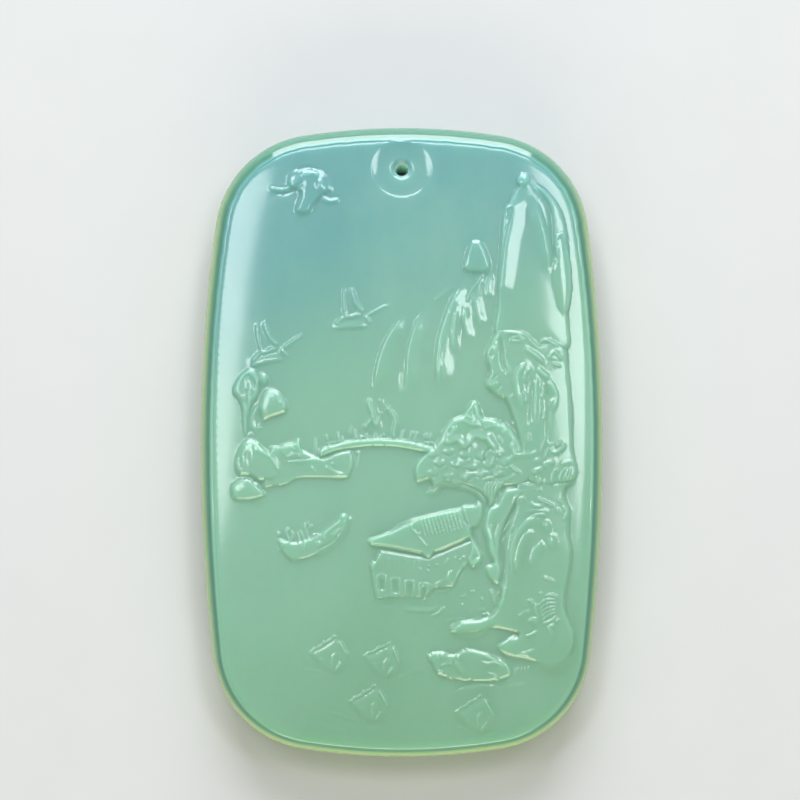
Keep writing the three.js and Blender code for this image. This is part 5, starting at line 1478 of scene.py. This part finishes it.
def jade_material(finish):
    material = bpy.data.materials.new("pale_green_jade")
    material.use_nodes = True
    tree = material.node_tree
    shader = tree.nodes["Principled BSDF"]
    tone = place_group(material, stone_tone_group(), {
        "Upper": rgba(finish.upper), "Middle": rgba(finish.middle), "Lower": rgba(finish.lower),
        "Milk": rgba(finish.milk), "Milkiness": 0.3})
    # Painted shade on the rim and a painted glow on its thin edge, laid over the body colour.
    rim = place_group(material, rim_shade_and_glow_group(), {
        "Rim": rgba(finish.shade), "Edge": rgba(finish.edge)})
    polish = place_group(material, polish_group(), {"Ripple": 1.0})
    way = tree.nodes.new("ShaderNodeAttribute")
    way.attribute_name = "rim"
    tree.links.new(tone.outputs["Color"], rim.inputs["Body"])
    tree.links.new(way.outputs["Fac"], rim.inputs["Way"])
    colour = rim.outputs["Color"]
    cut = tree.nodes.new("ShaderNodeAttribute")
    cut.attribute_name = "bore"
    colour = mix_colour(tree, cut.outputs["Fac"], colour, (0.86, 0.93, 0.88, 1.0))
    tree.links.new(colour, shader.inputs["Base Color"])
    rough = math_node(tree, "MULTIPLY", polish.outputs["Mask"], 0.03)
    rough = math_node(tree, "ADD", rough, finish.roughness)
    rough = math_node(tree, "ADD", rough, math_node(tree, "MULTIPLY", cut.outputs["Fac"], 0.35))
    tree.links.new(rough, shader.inputs["Roughness"])
    bump = tree.nodes.new("ShaderNodeBump")
    bump.inputs["Strength"].default_value = 0.12
    bump.inputs["Distance"].default_value = 0.00002
    tree.links.new(polish.outputs["Height"], bump.inputs["Height"])
    tree.links.new(bump.outputs["Normal"], shader.inputs["Normal"])
    shader.inputs["IOR"].default_value = 1.66
    shader.inputs["Subsurface Weight"].default_value = 1.0
    shader.inputs["Subsurface Radius"].default_value = (0.7, 1.3, 1.0)
    shader.inputs["Subsurface Scale"].default_value = 0.0022
    return material


def floor_material(look):
    material = bpy.data.materials.new("pale_floor")
    material.use_nodes = True
    tree = material.node_tree
    shader = tree.nodes["Principled BSDF"]
    shade = tuple(0.96 * value for value in look.floor)
    colour = mix_colour(tree, noise(tree, 160.0, 3.0), rgba(look.floor), rgba(shade))
    tree.links.new(colour, shader.inputs["Base Color"])
    shader.inputs["Roughness"].default_value = 0.65
    return material


# ---- Operators -----------------------------------------------------------------------------------


class OBJECT_OT_jade_plaque(bpy.types.Operator):
    """Carves the stone and gives it its finish"""

    bl_idname = "object.jade_plaque"
    bl_label = "Jade plaque"

    def execute(self, context):
        scene = context.scene
        form = Form(scene.plaque_form)
        material = jade_material(scene.jade_finish)
        mesh = stone_mesh(form, scene.plaque_carving)
        mesh = apply_cushion(mesh, form, material)
        plaque = bpy.data.objects.new("plaque_stone", mesh)
        scene.collection.objects.link(plaque)
        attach(plaque, "root")
        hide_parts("plaque")
        return {"FINISHED"}


def add_area_light(name, place, target, size, radiance, colour, turn=0.0):
    """A rectangular soft light of an even brightness, unseen by the camera itself."""
    data = bpy.data.lights.new(name, "AREA")
    data.shape = "RECTANGLE"
    data.size, data.size_y = size
    data.energy = radiance * math.pi * size[0] * size[1]
    data.color = colour
    light = bpy.data.objects.new(name, data)
    bpy.context.scene.collection.objects.link(light)
    light.location = place
    aim = (Vector(target) - Vector(place)).to_track_quat("-Z", "Y")
    light.rotation_mode = "QUATERNION"
    light.rotation_quaternion = Quaternion((0, 0, 1), turn) @ aim
    light.visible_camera = False


class SCENE_OT_plaque_stage(bpy.types.Operator):
    """Sets the pale floor, the soft lights and the camera"""

    bl_idname = "scene.plaque_stage"
    bl_label = "Stage, lights and camera"

    def execute(self, context):
        scene = context.scene
        look = scene.stage_look
        mesh = bpy.data.meshes.new("floor")
        reach = 1.5
        mesh.from_pydata([(-reach, -reach, 0), (reach, -reach, 0), (reach, reach, 0),
                          (-reach, reach, 0)], [], [(0, 1, 2, 3)])
        floor = bpy.data.objects.new("floor", mesh)
        mesh.materials.append(floor_material(look))
        scene.collection.objects.link(floor)
        self.set_lights(look)
        self.set_camera(scene)
        return {"FINISHED"}

    def set_lights(self, look):
        """Two slanted boxes above, a tall panel behind the top and a low warm one at the foot."""
        cool, warm = (0.92, 0.96, 1.0), (1.0, 0.97, 0.72)
        aside, behind, above = 0.188, 0.160, 0.5
        slant = math.radians(58.5)
        for name, side in (("box_left", -1), ("box_right", 1)):
            place = Vector((side * aside, behind, above))
            add_area_light(name, place, place - Vector((0, 0, 1)), (0.205, 0.12), look.box_power,
                           cool, turn=-side * slant)
        top_height, foot_height = 0.29, 0.12
        add_area_light("panel_top", (0.0, 0.45, top_height), (0.0, 0.0, top_height),
                       (0.42, 0.49), look.panel_power, cool)
        add_area_light("panel_foot", (0.0, -0.42, foot_height), (0.0, 0.0, foot_height),
                       (0.5, 0.22), look.foot_power, warm)
        world = bpy.data.worlds.new("studio")
        world.use_nodes = True
        world.node_tree.nodes["Background"].inputs["Color"].default_value = (0.95, 0.98, 1.0, 1.0)
        world.node_tree.nodes["Background"].inputs["Strength"].default_value = look.ambient
        bpy.context.scene.world = world

    def set_camera(self, scene):
        data = bpy.data.cameras.new("camera")
        data.lens = 200.0
        data.sensor_width = 36.0
        data.clip_start, data.clip_end = 0.01, 10.0
        camera = bpy.data.objects.new("camera", data)
        scene.collection.objects.link(camera)
        elevation = math.radians(82.0)
        frame_width = 0.0796
        distance = frame_width * data.lens / data.sensor_width
        back = Vector((0.0, -math.cos(elevation), math.sin(elevation)))
        up = Vector((0.0, math.sin(elevation), math.cos(elevation)))
        aim_up, aim_left = 0.00394, 0.00017
        aim = Vector((-aim_left, 0.0, EDGE_LEVEL * MM)) + up * aim_up
        camera.location = aim + back * distance
        camera.rotation_mode = "QUATERNION"
        camera.rotation_quaternion = (-back).to_track_quat("-Z", "Y")
        scene.camera = camera
        scene.view_settings.view_transform = "Standard"


class VIEW3D_PT_jade_plaque(bpy.types.Panel):
    """Sidebar panel that lists the steps"""

    bl_label = "Jade Plaque"
    bl_idname = "VIEW3D_PT_jade_plaque"
    bl_space_type = "VIEW_3D"
    bl_region_type = "UI"
    bl_category = "Jade Plaque"

    def draw(self, context):
        for name in ("plaque_form", "plaque_carving", "jade_finish", "stage_look"):
            settings = getattr(context.scene, name)
            box = self.layout.box()
            for prop in settings.__annotations__:
                box.prop(settings, prop)
        self.layout.operator("object.jade_plaque")
        self.layout.operator("scene.plaque_stage")


CLASSES = (PlaqueForm, PlaqueCarving, JadeFinish, StageLook, OBJECT_OT_jade_plaque,
           SCENE_OT_plaque_stage, VIEW3D_PT_jade_plaque)
SETTINGS = {"plaque_form": PlaqueForm, "plaque_carving": PlaqueCarving,
            "jade_finish": JadeFinish, "stage_look": StageLook}


def register():
    for item in CLASSES:
        bpy.utils.register_class(item)
    for name, kind in SETTINGS.items():
        setattr(bpy.types.Scene, name, PointerProperty(type=kind))


def unregister():
    for name in SETTINGS:
        delattr(bpy.types.Scene, name)
    for item in reversed(CLASSES):
        bpy.utils.unregister_class(item)


def main():
    register()
    bpy.ops.object.jade_plaque()
    bpy.ops.scene.plaque_stage()


if __name__ == "__main__":
    main()
